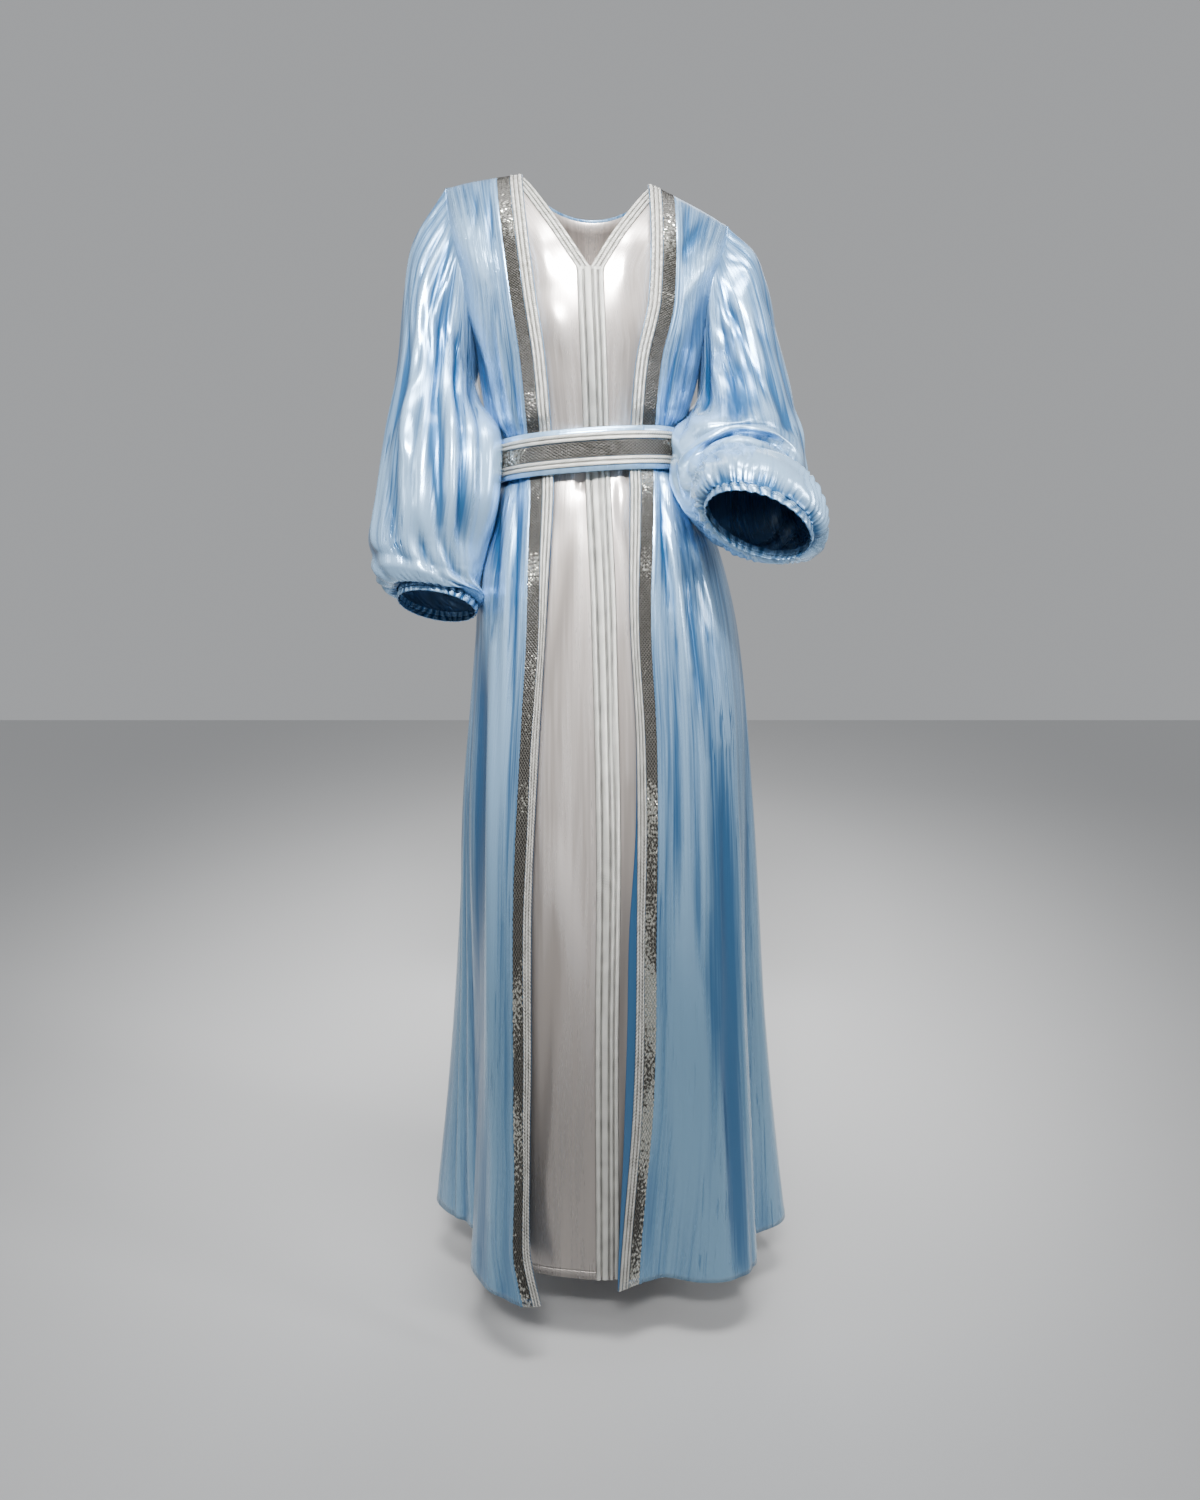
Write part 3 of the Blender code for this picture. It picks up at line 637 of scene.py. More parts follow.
def robe_folds(angle, depth):
    """How far the robe's cloth stands off its form, from the folds alone."""
    uneven = 0.55 + 0.75 * drift(angle * 2.3 + 5, depth * 3.1, 41)
    gathers = pleats(angle, depth * 4.5, 9.0, 3, wander=2.2) * 0.0030 * uneven * (
        blend(0.366, 0.384, depth) * (1 - 0.80 * blend(0.40, 0.62, depth)))
    falls = pleats(angle, depth * 1.6, 3.6, 11, wander=2.0, sharp=0.25) * 0.0060 * blend(0.42, 0.80, depth)
    wide = pleats(angle, depth * 1.0, 1.9, 17, sharp=0.30) * 0.0080 * blend(0.50, 1.0, depth)
    bodice = pleats(angle, depth * 5, 6.5, 23, wander=2.2) * 0.0022 * uneven * (
        blend(0.17, 0.285, depth) * (1 - blend(0.300, 0.311, depth)))
    x = robe_form(angle, depth)[..., 0]
    by_hand = creases(x, depth, ROBE_CREASES) * (np.cos(angle) > 0) * (1 - hump(0.311, 0.360, depth, 0.008))
    return gathers + falls + wide + bodice + by_hand


# %% [markdown]
# ## Making a cloth
# Every cloth starts as a flat grid, as it was cut. Each point is then moved to its place on the worn
# form, and the grid's map keeps the place that the point had on the flat cut, in metres, so that
# crinkles and weave run with the cloth. A Solidify modifier gives the cloth its thickness inwards.

# %% Cloth from a flat grid
def flat_grid(name, columns, rows):
    """A flat grid with its map, and how far across and down it each point is, from 0 to 1."""
    bm = bmesh.new()
    bm.loops.layers.uv.new("cut")
    bmesh.ops.create_grid(bm, x_segments=columns, y_segments=rows, size=0.5, calc_uvs=True)
    mesh = bpy.data.meshes.new(name)
    bm.to_mesh(mesh)
    bm.free()
    spots = np.empty(len(mesh.vertices) * 3, np.float32)
    mesh.vertices.foreach_get("co", spots)
    spots = spots.reshape(rows + 1, columns + 1, 3).astype(float)
    return mesh, spots[..., 0] + 0.5, 0.5 - spots[..., 1]


def cloth(name, columns, rows, flat, place, finish, thick=CLOTH, ring=False, flip=False):
    """A grid whose points go where place(across, down) says; place also gives fold and stitch."""
    mesh, across, down = flat_grid(name, columns, rows)
    points, readings = place(across, down)
    mesh.vertices.foreach_set("co", points.astype(np.float32).ravel())
    for key, values in readings.items():
        stored = mesh.attributes.new(key, "FLOAT", "POINT")
        stored.data.foreach_set("value", np.broadcast_to(values, across.shape).astype(np.float32).ravel())
    cut = np.empty(len(mesh.loops) * 2, np.float32)
    mesh.uv_layers["cut"].data.foreach_get("uv", cut)
    cut = cut.reshape(-1, 2) * np.array(flat, np.float32)
    mesh.uv_layers["cut"].data.foreach_set("uv", cut.ravel())
    bm = bmesh.new()
    bm.from_mesh(mesh)
    if ring:
        bmesh.ops.remove_doubles(bm, verts=bm.verts, dist=1e-5)
    if flip:
        bmesh.ops.reverse_faces(bm, faces=bm.faces)
    area = sum(face.calc_area() for face in bm.faces)
    bm.to_mesh(mesh)
    bm.free()
    mesh.shade_smooth()
    mesh.materials.append(finish)
    piece = bpy.data.objects.new(name, mesh)
    bpy.context.scene.collection.objects.link(piece)
    if thick:
        wall = piece.modifiers.new("thickness", "SOLIDIFY")
        wall.thickness, wall.offset = thick, -1
    print(f"{name}: {len(mesh.polygons)} faces, {area:.3f} square metres")
    return piece


def placed(piece, slot, *nodes):
    """Joins a piece to the body, with the solids it stands for and its slot."""
    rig.ride(piece, "root")
    if nodes:
        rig.replaces(piece, *nodes)
    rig.slot(piece, slot)
    return piece


# %% [markdown]
# ## The robe
# The robe has one back and two fronts. Its front edges carry the trims, so the cloth is held flat
# there, and below the hip the edges roll: on the right the edge turns back under itself, and on the
# left a narrow facing of the satin shows beyond the braid. All the fullness is drawn in by the belt.

# %% How the front edges roll: depth, share of the braid's width, share of the mirrors' width, how
# far back the braid goes, how far back the mirrors go, facing
ROLL = {
    -1: (
        (0.00, 1.0, 1.0, 0.0, 0.0, 0.0), (0.42, 0.9, 0.95, 0.0, 0.0, 0.0),
        (0.57, 0.45, 0.95, 0.006, 0.001, 0.0), (0.69, 0.50, 0.78, 0.008, 0.003, 0.0),
        (0.80, 0.36, 0.82, 0.009, 0.004, 0.0), (0.92, 0.46, 0.66, 0.009, 0.005, 0.0),
        (1.04, 0.40, 0.66, 0.009, 0.006, 0.0), (1.155, 0.38, 0.55, 0.009, 0.007, 0.0),
        (1.25, 0.30, 0.45, 0.009, 0.008, 0.0), (1.405, 0.75, 0.75, 0.004, 0.004, 0.0),
    ),
    1: (
        (0.00, 1.0, 1.0, 0.0, 0.0, 0.0), (0.42, 0.9, 1.0, 0.0, 0.0, 0.0),
        (0.57, 0.66, 0.95, 0.004, 0.001, 0.0), (0.69, 0.72, 0.92, 0.004, 0.001, 0.0),
        (0.80, 0.76, 0.86, 0.004, 0.002, 0.002), (0.92, 0.64, 0.95, 0.004, 0.001, 0.0085),
        (1.04, 0.68, 1.0, 0.004, 0.0, 0.0095), (1.155, 0.76, 0.95, 0.004, 0.0, 0.009),
        (1.25, 0.78, 0.9, 0.003, 0.0, 0.006), (1.405, 0.9, 0.9, 0.0, 0.0, 0.001),
    ),
}


def front_edge(side, offset, depth, lift):
    """A point near a front edge: offset is measured along the cloth from the edge."""
    braid, mirror, back_braid, back_mirror, facing = read(ROLL[side], depth)
    on_braid = np.clip(offset / BRAID_WIDTH, 0, 1)
    on_mirror = np.clip((offset - BRAID_WIDTH) / MIRROR_WIDTH, 0, 1)
    beyond = np.clip(offset - BRAID_WIDTH - MIRROR_WIDTH, 0, None)
    x = BRAID_WIDTH * braid * on_braid + MIRROR_WIDTH * mirror * on_mirror + beyond
    under = np.clip(-offset, 0, None)
    back = back_braid * (1 - on_braid) + back_mirror * (1 - on_mirror) + under * 0.25
    x = read(EDGES[side], depth) + side * (x - under)
    angle = angle_at(robe_form, x, depth)
    soft = blend(BRAID_WIDTH + MIRROR_WIDTH, 0.05, offset)
    fold = robe_folds(angle, depth) * soft
    fold = fold + 0.0018 * np.exp(-(((offset - BRAID_WIDTH - MIRROR_WIDTH - 0.0026) / 0.0020) ** 2))
    wave = 0.0012 * np.sin(depth * 17 + side) * blend(0.45, 0.8, depth) * (1 - soft)
    return angle, fold + wave - back + lift


def robe_depth(down):
    """Rows are close together over the bodice and the belt, and wider down the skirt."""
    return read(((0, 0), (0.62, 0.62), (1, ROBE_LENGTH)), down)


def finished(depth, length):
    """What every long cloth has at its hem: a turned edge, and the distance to its stitches."""
    turn = length - depth
    return 0.0007 * (1 - blend(HEM, HEM + 0.002, turn)), np.abs(turn - HEM)


TRIM_STRIP = 0.036
FRONT_COLUMNS, TRIM_COLUMNS = 118, 20


def robe_front(side):
    def place(across, down):
        depth = robe_depth(down)
        facing = read(ROLL[side], depth)[4]
        share = TRIM_COLUMNS / FRONT_COLUMNS
        near = np.clip(across / share, 0, 1)
        offset = -facing + (facing + TRIM_STRIP) * near
        angle, lift = front_edge(side, offset, depth, 0)
        seam = side * (pi / 2 - armhole(depth))
        far = np.clip((across - share) / (1 - share), 0, 1)
        angle = angle + (seam - angle) * far
        on_panel = blend(0, 0.06, far)
        folds = robe_folds(angle, depth)
        lift = np.where(far > 0, lift * (1 - on_panel) + folds * on_panel, lift)
        lift = lift * blend(0, 0.03, depth)
        hem, stitch = finished(depth, ROBE_LENGTH)
        points = lifted(robe_form, angle, depth, lift + CLOTH + hem)
        points[..., 1] = np.where(depth < 1e-6, 0.0, points[..., 1])
        # 'low' is the share of painted shade the satin takes low on the skirt; 'fold' also paints shade in the
        # valleys.
        return points, {"fold": lift / 0.005, "stitch": stitch, "low": blend(0.42, 1.15, depth)}

    return place


def back_place(form, length, folds, depth_of, sweep=armhole):
    def place(across, down):
        depth = depth_of(down)
        under_front = 0.007 * blend(0.30, 0.36, depth)
        angle = pi + (pi / 2 - sweep(depth) + under_front) * (1 - 2 * across)
        neck = BACK_NECK_DROP * np.clip(1 - (form(angle, depth * 0)[..., 0] / NECK_HALF) ** 2, 0, None)
        depth = depth + neck * (1 - blend(0, 0.1, depth))
        lift = folds(angle, depth) * blend(0, 0.03, depth)
        lift = lift - 0.0010 * blend(0.97, 0.99, np.abs(1 - 2 * across)) * blend(0.30, 0.36, depth)
        hem, stitch = finished(depth, length)
        points = lifted(form, angle, depth, lift + CLOTH + hem)
        points[..., 1] = np.where(depth < 1e-6, 0.0, points[..., 1])
        # 'low' is the share of painted shade the satin takes low on the skirt; 'fold' also paints shade in the
        # valleys.
        return points, {"fold": lift / 0.005, "stitch": stitch, "low": blend(0.42, 1.15, depth)}

    return place


# %% Robe pieces
robe_back = placed(
    cloth("robe_back_cloth", 190, 150, (1.30, 1.42),
          back_place(robe_form, ROBE_LENGTH, robe_folds, robe_depth),
          sky_satin, flip=True), "sky_satin", "robe_back")
robe_fronts = {}
for side, name in ((-1, "right"), (1, "left")):
    robe_fronts[side] = placed(
        cloth(f"robe_front_{name}_cloth", FRONT_COLUMNS, 225, (0.44, 1.42), robe_front(side), sky_satin,
              flip=side < 0), "sky_satin", f"robe_front_{name}")

# %% [markdown]
# ## The bishop sleeves
# A bishop sleeve is cut wide and gathered twice: into the armhole and into a narrow elastic cuff. The
# fullness hangs over the cuff in a puff. Rings placed down each arm give the sleeve's path, and the
# gathers are strongest at its two ends.

# %% Rings down each arm: centre, to the outer side, to the front
ARMS = {
    -1: (
        ((-0.164, 0.000, -0.115), (-0.010, 0.000, 0.100), (0.000, -0.050, 0.000)),
        ((-0.178, -0.002, -0.167), (-0.038, 0.000, 0.080), (0.000, -0.058, 0.000)),
        ((-0.184, -0.016, -0.243), (-0.050, 0.006, 0.030), (0.000, -0.064, 0.000)),
        ((-0.181, -0.053, -0.313), (-0.065, 0.018, 0.006), (-0.006, -0.066, 0.000)),
        ((-0.187, -0.068, -0.385), (-0.070, 0.020, 0.000), (-0.006, -0.067, 0.000)),
        ((-0.200, -0.070, -0.440), (-0.067, 0.006, 0.006), (0.000, -0.066, 0.002)),
        ((-0.197, -0.073, -0.474), (-0.063, 0.002, 0.016), (0.000, -0.064, 0.010)),
        ((-0.193, -0.075, -0.496), (-0.0575, 0.000, 0.010), (0.000, -0.058, 0.016)),
        ((-0.184, -0.077, -0.509), (-0.0515, 0.001, 0.006), (0.000, -0.048, 0.021)),
    ),
    1: (
        ((0.165, 0.000, -0.130), (0.010, 0.000, 0.100), (0.000, -0.050, 0.000)),
        ((0.176, -0.002, -0.184), (0.037, 0.000, 0.080), (0.000, -0.058, 0.000)),
        ((0.184, -0.020, -0.254), (0.056, 0.008, 0.030), (0.006, -0.064, 0.000)),
        ((0.187, -0.062, -0.314), (0.072, 0.020, 0.004), (0.006, -0.062, 0.012)),
        ((0.189, -0.082, -0.362), (0.077, 0.018, -0.004), (0.006, -0.046, 0.050)),
        ((0.192, -0.120, -0.390), (0.072, 0.006, -0.010), (0.000, -0.012, 0.062)),
        ((0.190, -0.168, -0.402), (0.068, 0.000, -0.014), (0.000, -0.006, 0.058)),
        ((0.188, -0.212, -0.412), (0.066, -0.002, -0.018), (0.000, -0.028, 0.046)),
        ((0.185, -0.236, -0.424), (0.060, 0.000, -0.018), (-0.003, -0.036, 0.032)),
    ),
}
LOOP_LEVELS = (0.0, 0.008, 0.025, 0.05, 0.08, 0.11, 0.145, 0.18, 0.215)
RING_GAPS = 8
RING_GAP = 0.055
SLEEVE_RADIUS = 0.062
SLEEVE_MAP = (0.62, 0.56)


# %% Sleeve surface
def tube(arm, along, turn):
    """A point of the sleeve's own tube: along counts rings, turn goes from the outer side to the front."""
    rings = np.array(arm)
    last = len(arm) - 1
    ring = np.clip(np.floor(along).astype(int), 0, last - 1)
    t = (along - ring)[..., None, None]
    p = [rings[np.clip(ring + k, 0, last)] for k in (-1, 0, 1, 2)]
    part = 0.5 * (
        2 * p[1] + (p[2] - p[0]) * t + (2 * p[0] - 5 * p[1] + 4 * p[2] - p[3]) * t**2
        + (3 * p[1] - p[0] - 3 * p[2] + p[3]) * t**3
    )
    turn = turn[..., None]
    return part[..., 0, :] + part[..., 1, :] * np.cos(turn) + part[..., 2, :] * np.sin(turn)


def sleeve_surface(side, turn, along):
    arm = ARMS[side]
    turn = turn % (2 * pi)
    column = turn / (2 * pi) * 16
    level = np.interp(np.where(column <= 8, column, 16 - column), range(9), LOOP_LEVELS)
    swing = np.where(column <= 8, armhole(level), -armhole(level))
    edge = robe_form(side * (pi / 2 - swing), level)
    edge[..., 0] += side * 0.0006
    stay = (1 - blend(0, 1.0, along))[..., None]
    return tube(arm, along, turn) + (edge - tube(arm, along * 0, turn)) * stay


# On each sleeve: metres round from the outer side (front positive), rings down, half width, rise
SLEEVE_CREASES = {
    -1: (
        (0.084, 2.1, 0.070, 2.8, 0.0070, 0.0065), (0.070, 2.8, 0.090, 3.7, 0.0075, 0.0070),
        (0.090, 3.7, 0.108, 5.0, 0.0080, 0.0060), (0.058, 1.8, 0.050, 3.4, 0.0075, -0.0050),
        (0.050, 3.2, 0.072, 5.0, 0.0070, -0.0040), (0.106, 0.6, 0.108, 2.6, 0.0060, -0.0055),
        (0.108, 2.4, 0.126, 4.6, 0.0075, -0.0075), (0.132, 0.9, 0.140, 3.2, 0.0065, -0.0060),
        (0.140, 2.8, 0.150, 5.6, 0.0080, -0.0070), (0.122, 1.4, 0.136, 4.6, 0.0060, 0.0045),
        (0.160, 1.4, 0.168, 5.2, 0.0080, -0.0060), (0.076, 0.9, 0.070, 2.2, 0.0050, 0.0036),
        (0.092, 0.1, 0.086, 1.3, 0.0040, -0.0036), (0.112, 0.1, 0.118, 1.5, 0.0040, -0.0034),
        (0.022, 1.6, 0.020, 4.2, 0.0090, -0.0045), (0.034, 2.4, 0.040, 5.6, 0.0080, 0.0050),
    ),
    1: (
        (0.122, 0.1, 0.098, 2.6, 0.0050, -0.0028), (0.138, 0.1, 0.126, 2.9, 0.0060, 0.0028),
        (0.108, 0.1, 0.072, 2.8, 0.0050, -0.0026), (0.094, 0.2, 0.050, 3.0, 0.0060, 0.0026),
        (0.150, 0.4, 0.156, 2.6, 0.0075, -0.0060), (0.120, 1.2, 0.116, 3.2, 0.0080, -0.0050),
        (0.070, 1.4, 0.054, 3.6, 0.0090, -0.0055), (0.030, 1.0, 0.018, 4.6, 0.0070, -0.0060),
        (0.006, 1.0, 0.000, 5.0, 0.0060, 0.0050), (0.176, 1.6, 0.180, 3.4, 0.0080, -0.0060),
        (0.180, 4.5, 0.120, 4.1, 0.0090, 0.0070), (0.120, 4.1, 0.050, 4.6, 0.0085, 0.0070),
        (0.170, 5.0, 0.110, 4.7, 0.0070, -0.0070), (0.110, 4.7, 0.040, 5.3, 0.0070, -0.0060),
        (0.150, 5.5, 0.080, 5.6, 0.0070, 0.0050), (0.120, 6.2, 0.060, 6.0, 0.0060, -0.0050),
        (-0.050, 6.2, -0.016, 7.4, 0.0200, 0.0080), (0.100, 6.6, 0.020, 6.9, 0.0080, 0.0050),
    ),
}


def sleeve_folds(side, turn, along):
    """Gathers at the armhole, long falls down the arm, and gathers into the cuff."""
    u, shift = turn / (2 * pi), 40 + 7 * side
    uneven = 0.6 + 0.7 * drift(u * 9 + 2, along * 0.5, shift + 21)
    head = pleats(u + 0.02 * along, along * 0.8, 26, shift, wander=2.2) * 0.0034 * uneven * (
        blend(0.02, 0.35, along) * (1 - blend(0.6, 2.0, along)))
    falls = pleats(u + 0.03 * side * along, along * 0.5, 9, shift + 4, wander=2.2, sharp=0.2) * 0.0075 * (
        blend(0.5, 2.2, along) * (1 - 0.7 * blend(6.8, 7.6, along)))
    cuff = pleats(u, along * 0.9, 38, shift + 8, wander=1.8) * 0.0076 * uneven * blend(5.2, 7.2, along)
    puff = 0.0045 * hump(6.6, 7.3, along, 0.7) - 0.0040 * blend(7.45, 8.0, along)
    round_ = (turn + pi) % (2 * pi) - pi
    inner = 0.0095 * np.exp(-(((turn - pi) / 0.75) ** 2)) * hump(3.0, 5.0, along, 1.2)
    by_hand = creases(round_ * SLEEVE_RADIUS, along * RING_GAP, [
        (x0, y0 * RING_GAP, x1, y1 * RING_GAP, half, rise)
        for x0, y0, x1, y1, half, rise in SLEEVE_CREASES[side]])
    return head + falls + cuff + puff + inner + by_hand * blend(0, 0.4, along) * (1 - blend(7.2, 8.0, along))


def sleeve(side):
    def place(across, down):
        turn = across * 2 * pi
        along = RING_GAPS * down
        step = 1e-2
        p = sleeve_surface(side, turn, along)
        round_ = sleeve_surface(side, turn + step, along) - sleeve_surface(side, turn - step, along)
        down_ = sleeve_surface(side, turn, np.clip(along + step, 0, RING_GAPS)) - sleeve_surface(
            side, turn, np.clip(along - step, 0, 8))
        normal = np.cross(round_, down_) * side
        normal /= np.linalg.norm(normal, axis=-1, keepdims=True) + 1e-12
        lift = sleeve_folds(side, turn, along)
        points = p + normal * (lift + CLOTH)[..., None]
        points[:, -1] = points[:, 0]
        return points, {"fold": lift / 0.006, "stitch": 1.0, "low": 0.0}

    return place


sleeves, cuffs = {}, {}
for side, name in ((-1, "right"), (1, "left")):
    sleeves[side] = placed(
        cloth(f"sleeve_{name}_cloth", 176, 150, SLEEVE_MAP, sleeve(side), sky_satin,
              ring=True, flip=side > 0), "sky_satin", f"sleeve_{name}")

# %% [markdown]
# ## The cuffs
# Each cuff is a narrow band drawn up on elastic, so it is a ring of small even ruches.

# %% Cuffs
def cuff(side):
    centre, outward, front = (np.array(part) for part in ARMS[side][-1])
    axis = np.cross(outward, front) * side
    axis /= np.linalg.norm(axis)

    def place(across, down):
        turn = across * 2 * pi
        ruche = pleats(across, down * 0.6, 30, 61 + side, wander=1.2) * 0.0034
        bulge = 0.0011 * np.sin(pi * down) ** 0.6
        inset = CUFF_INSET - 0.0010 - ruche - bulge
        ahead = (down - 0.25) * CUFF_LENGTH
        wide = (1 - inset / np.linalg.norm(outward)) * np.cos(turn)
        high = (1 - inset / np.linalg.norm(front)) * np.sin(turn)
        points = centre + axis * ahead[..., None] + outward * wide[..., None] + front * high[..., None]
        points[:, -1] = points[:, 0]
        return points, {"fold": ruche / 0.0015, "stitch": np.abs(down - 0.5) * CUFF_LENGTH}

    return place


for side, name in ((-1, "right"), (1, "left")):
    cuffs[side] = placed(
        cloth(f"cuff_{name}_cloth", 170, 14, (0.42, 0.0145), cuff(side), sky_satin,
              ring=True, flip=side > 0), "sky_satin", f"cuff_{name}")

# %% [markdown]
# ## The dress
# The dress is cut close and hangs straight. Its satin is smooth, with a few soft falls below the belt
# and small tucks where the belt pinches it. It lies flat where the robe covers it.

# %% Dress surface
DRESS_CREASES = (
    (-0.006, 0.358, -0.008, 0.378, 0.0045, -0.0050), (0.004, 0.358, 0.006, 0.374, 0.0040, -0.0030),
    (0.046, 0.358, 0.052, 0.372, 0.0040, -0.0040), (0.044, 0.366, 0.044, 0.430, 0.0110, 0.0060),
    (-0.040, 0.180, -0.022, 0.225, 0.0100, 0.0030), (-0.052, 0.090, -0.040, 0.160, 0.0130, 0.0034),
    (0.048, 0.090, 0.040, 0.170, 0.0110, 0.0030), (-0.020, 0.420, -0.052, 0.640, 0.0120, -0.0036),
    (-0.040, 0.800, -0.010, 0.980, 0.0160, 0.0045), (-0.046, 0.900, -0.060, 1.240, 0.0140, -0.0045),
    (0.038, 0.560, 0.034, 0.780, 0.0080, -0.0040), (0.052, 0.740, 0.046, 1.300, 0.0100, -0.0050),
)


def dress_folds(angle, depth):
    pinch = pleats(angle, depth * 7, 5.0, 71) * 0.0016 * (
        hump(0.365, 0.40, depth, 0.10) * blend(0.358, 0.37, depth))
    falls = pleats(angle, depth * 1.2, 2.0, 77, sharp=0.3) * 0.0042 * blend(0.42, 0.9, depth)
    x = dress_form(angle, depth)[..., 0]
    by_hand = creases(x, depth, DRESS_CREASES) * (np.cos(angle) > 0)
    return pinch + falls + by_hand


def dress_depth(down):
    return read(((0, 0), (0.5, 0.52), (1, DRESS_LENGTH)), down)


def dress_edge_angle(side, offset, depth):
    """The angle of a point offset along the cloth from the V neck or the centre front."""
    centre = read(CENTRE_FRONT, depth)
    neck = NECK_HALF * np.clip(1 - depth / V_NECK_DEPTH, 0, None)
    middle = centre * np.clip(depth / V_NECK_DEPTH, 0, 1)
    return angle_at(dress_form, middle + side * (neck + offset), depth)


def under_robe(side, x, depth, lift):
    """Beneath a robe front the dress lies flat and a little inward, so it can't show through."""
    covered = blend(0.004, 0.020, side * (x - read(EDGES[side], depth)))
    return lift - covered * (np.clip(lift, 0, None) + 0.004 * blend(0.42, 0.9, depth))


def dress_front(side):
    def place(across, down):
        depth = dress_depth(down)
        edge = dress_edge_angle(side, depth * 0, depth)
        seam = side * (pi / 2 - armhole(depth))
        angle = edge + (seam - edge) * across
        lift = dress_folds(angle, depth) * blend(0, 0.03, depth)
        lift = under_robe(side, dress_form(angle, depth)[..., 0], depth, lift)
        hem, stitch = finished(depth, DRESS_LENGTH)
        points = lifted(dress_form, angle, depth, lift + CLOTH + hem)
        points[..., 1] = np.where(depth < 1e-6, 0.0, points[..., 1])
        # 'low' is the share of painted shade the satin takes low on the skirt; 'fold' also paints shade in the
        # valleys.
        return points, {"fold": lift / 0.005, "stitch": stitch, "low": blend(0.72, 1.25, depth)}

    return place


dress_back = placed(
    cloth("dress_back_cloth", 90, 90, (0.50, 1.40),
          back_place(dress_form, DRESS_LENGTH, dress_folds, dress_depth),
          silver_satin, flip=True), "silver_satin", "dress_back")
dress_fronts = {}
for side, name in ((-1, "right"), (1, "left")):
    dress_fronts[side] = placed(
        cloth(f"dress_front_{name}_cloth", 62, 150, (0.26, 1.40), dress_front(side), silver_satin,
              flip=side < 0), "silver_satin", f"dress_front_{name}")

# %% [markdown]
# ## Cords and mirrors
# A cord is a small half-round tube with a flat underside, laid along a path on the cloth. Its height
# swells with the twist of its strands. Several cords side by side on a tape make a braid; the braid's
# finish paints the tape dark, as shade between the cords. The mirror mesh is a grid whose every second
# point is raised, split so that each raised point is the middle of a diamond.

# %% Trims
CORD_SIDES = 5


def grid_piece(bm_all, columns, rows, place):
    """Adds to bm_all a grid whose points go where place(across, down) says."""
    mesh, across, down = flat_grid("strip", columns, rows)
    points, relief, cut = place(across, down)
    mesh.vertices.foreach_set("co", points.astype(np.float32).ravel())
    stored = mesh.attributes.new("relief", "FLOAT", "POINT")
    stored.data.foreach_set("value", np.broadcast_to(relief, across.shape).astype(np.float32).ravel())
    corners = np.empty(len(mesh.loops), np.int32)
    mesh.loops.foreach_get("vertex_index", corners)
    mesh.uv_layers["cut"].data.foreach_set("uv", cut.reshape(-1, 2)[corners].astype(np.float32).ravel())
    bm_all.from_mesh(mesh)
    bpy.data.meshes.remove(mesh)


def trim_object(name, bm, finish, smooth=True):
    mesh = bpy.data.meshes.new(name)
    bmesh.ops.remove_doubles(bm, verts=bm.verts, dist=2e-6)
    bmesh.ops.recalc_face_normals(bm, faces=bm.faces)
    bm.to_mesh(mesh)
    bm.free()
    if smooth:
        mesh.shade_smooth()
    mesh.materials.append(finish)
    piece = bpy.data.objects.new(name, mesh)
    bpy.context.scene.collection.objects.link(piece)
    print(f"{name}: {len(mesh.polygons)} faces")
    return piece


def braid(name, length, on_cloth, cords, finish, pitch=0.0034, closed=False):
    """Cords of (start, width, height, slant) laid along a length of cloth, on a dark tape."""
    bm = bmesh.new()
    bm.loops.layers.uv.new("cut")
    rows = int(length / pitch * 4)
    for start, width, height, slant in cords:
        top = np.array([0, 0.2, 0.5, 0.8, 1, 0])
        rise = np.array([0, 0.8, 1, 0.8, 0, 0])

        def place(across, down):
            k = np.rint(across * CORD_SIDES).astype(int)
            c, h = top[k], rise[k]
            twist = np.sin(2 * pi * (down * length / pitch + slant * c))
            lift = TRIM * 0.3 + height * h * (1 + 0.22 * twist)
            points = on_cloth(start + width * c, down, lift)
            # The relief, the cord's height swelling with its twist, is what the braid finish paints light on the
            # crowns and dark as shade down the sides.
            return points, h * (0.55 + 0.45 * twist), np.stack((start + width * c, down * length), -1)

        grid_piece(bm, CORD_SIDES, rows, place)
    low = min(cord[0] for cord in cords)
    high = max(cord[0] + cord[1] for cord in cords)

    def tape(across, down):
        offset = low + (high - low) * across
        # The tape's low relief makes the braid finish paint it dark, as shade between the cords.
        return on_cloth(offset, down, offset * 0 + TRIM * 0.3), 0.15, np.stack((offset, down * length), -1)

    grid_piece(bm, 4, rows // 6, tape)
    if not closed:
        ends = [edge for edge in bm.edges if edge.is_boundary]
        bmesh.ops.holes_fill(bm, edges=ends, sides=CORD_SIDES + 1)
    return trim_object(name, bm, finish)


def mirrors(name, length, start, width, on_cloth, across_count, sheen):
    """A net of raised diamonds over a strip of cloth; sheen is (share of the length, more or less lit)."""
    bm = bmesh.new()
    bm.loops.layers.uv.new("cut")
    columns = 2 * across_count
    rows = 2 * int(length / (width / across_count) / 1.3)
    chance = np.random.default_rng(5)

    def place(across, down):
        i, j = np.rint(across * columns).astype(int), np.rint(down * rows).astype(int)
        odd = (i + j) % 2
        offset = start + width * across
        tilt = chance.uniform(0.45, 1.25, across.shape)
        slide = (chance.uniform(-0.12, 0.12, across.shape) * width / columns) * odd
        lift = 0.0004 + 0.0011 * odd * tilt
        points = on_cloth(offset + slide, down, lift)
        return points, odd * 1.0, np.stack((offset, down * length), -1)

    grid_piece(bm, columns, rows, place)
    lit = bm.verts.layers.float.new("sheen")
    level = bm.verts.layers.float["relief"]
    place_on = bm.loops.layers.uv["cut"]
    for face in bm.faces:
        for loop in face.loops:
            loop.vert[lit] = float(read(sheen, np.array(loop[place_on].uv.y / length)))
    for face in list(bm.faces):
        low = [vert for vert in face.verts if vert[level] < 0.5]
        if len(low) == 2 and len(face.verts) == 4:
            bmesh.utils.face_split(face, low[0], low[1])
    return trim_object(name, bm, mirror_mesh, smooth=False)


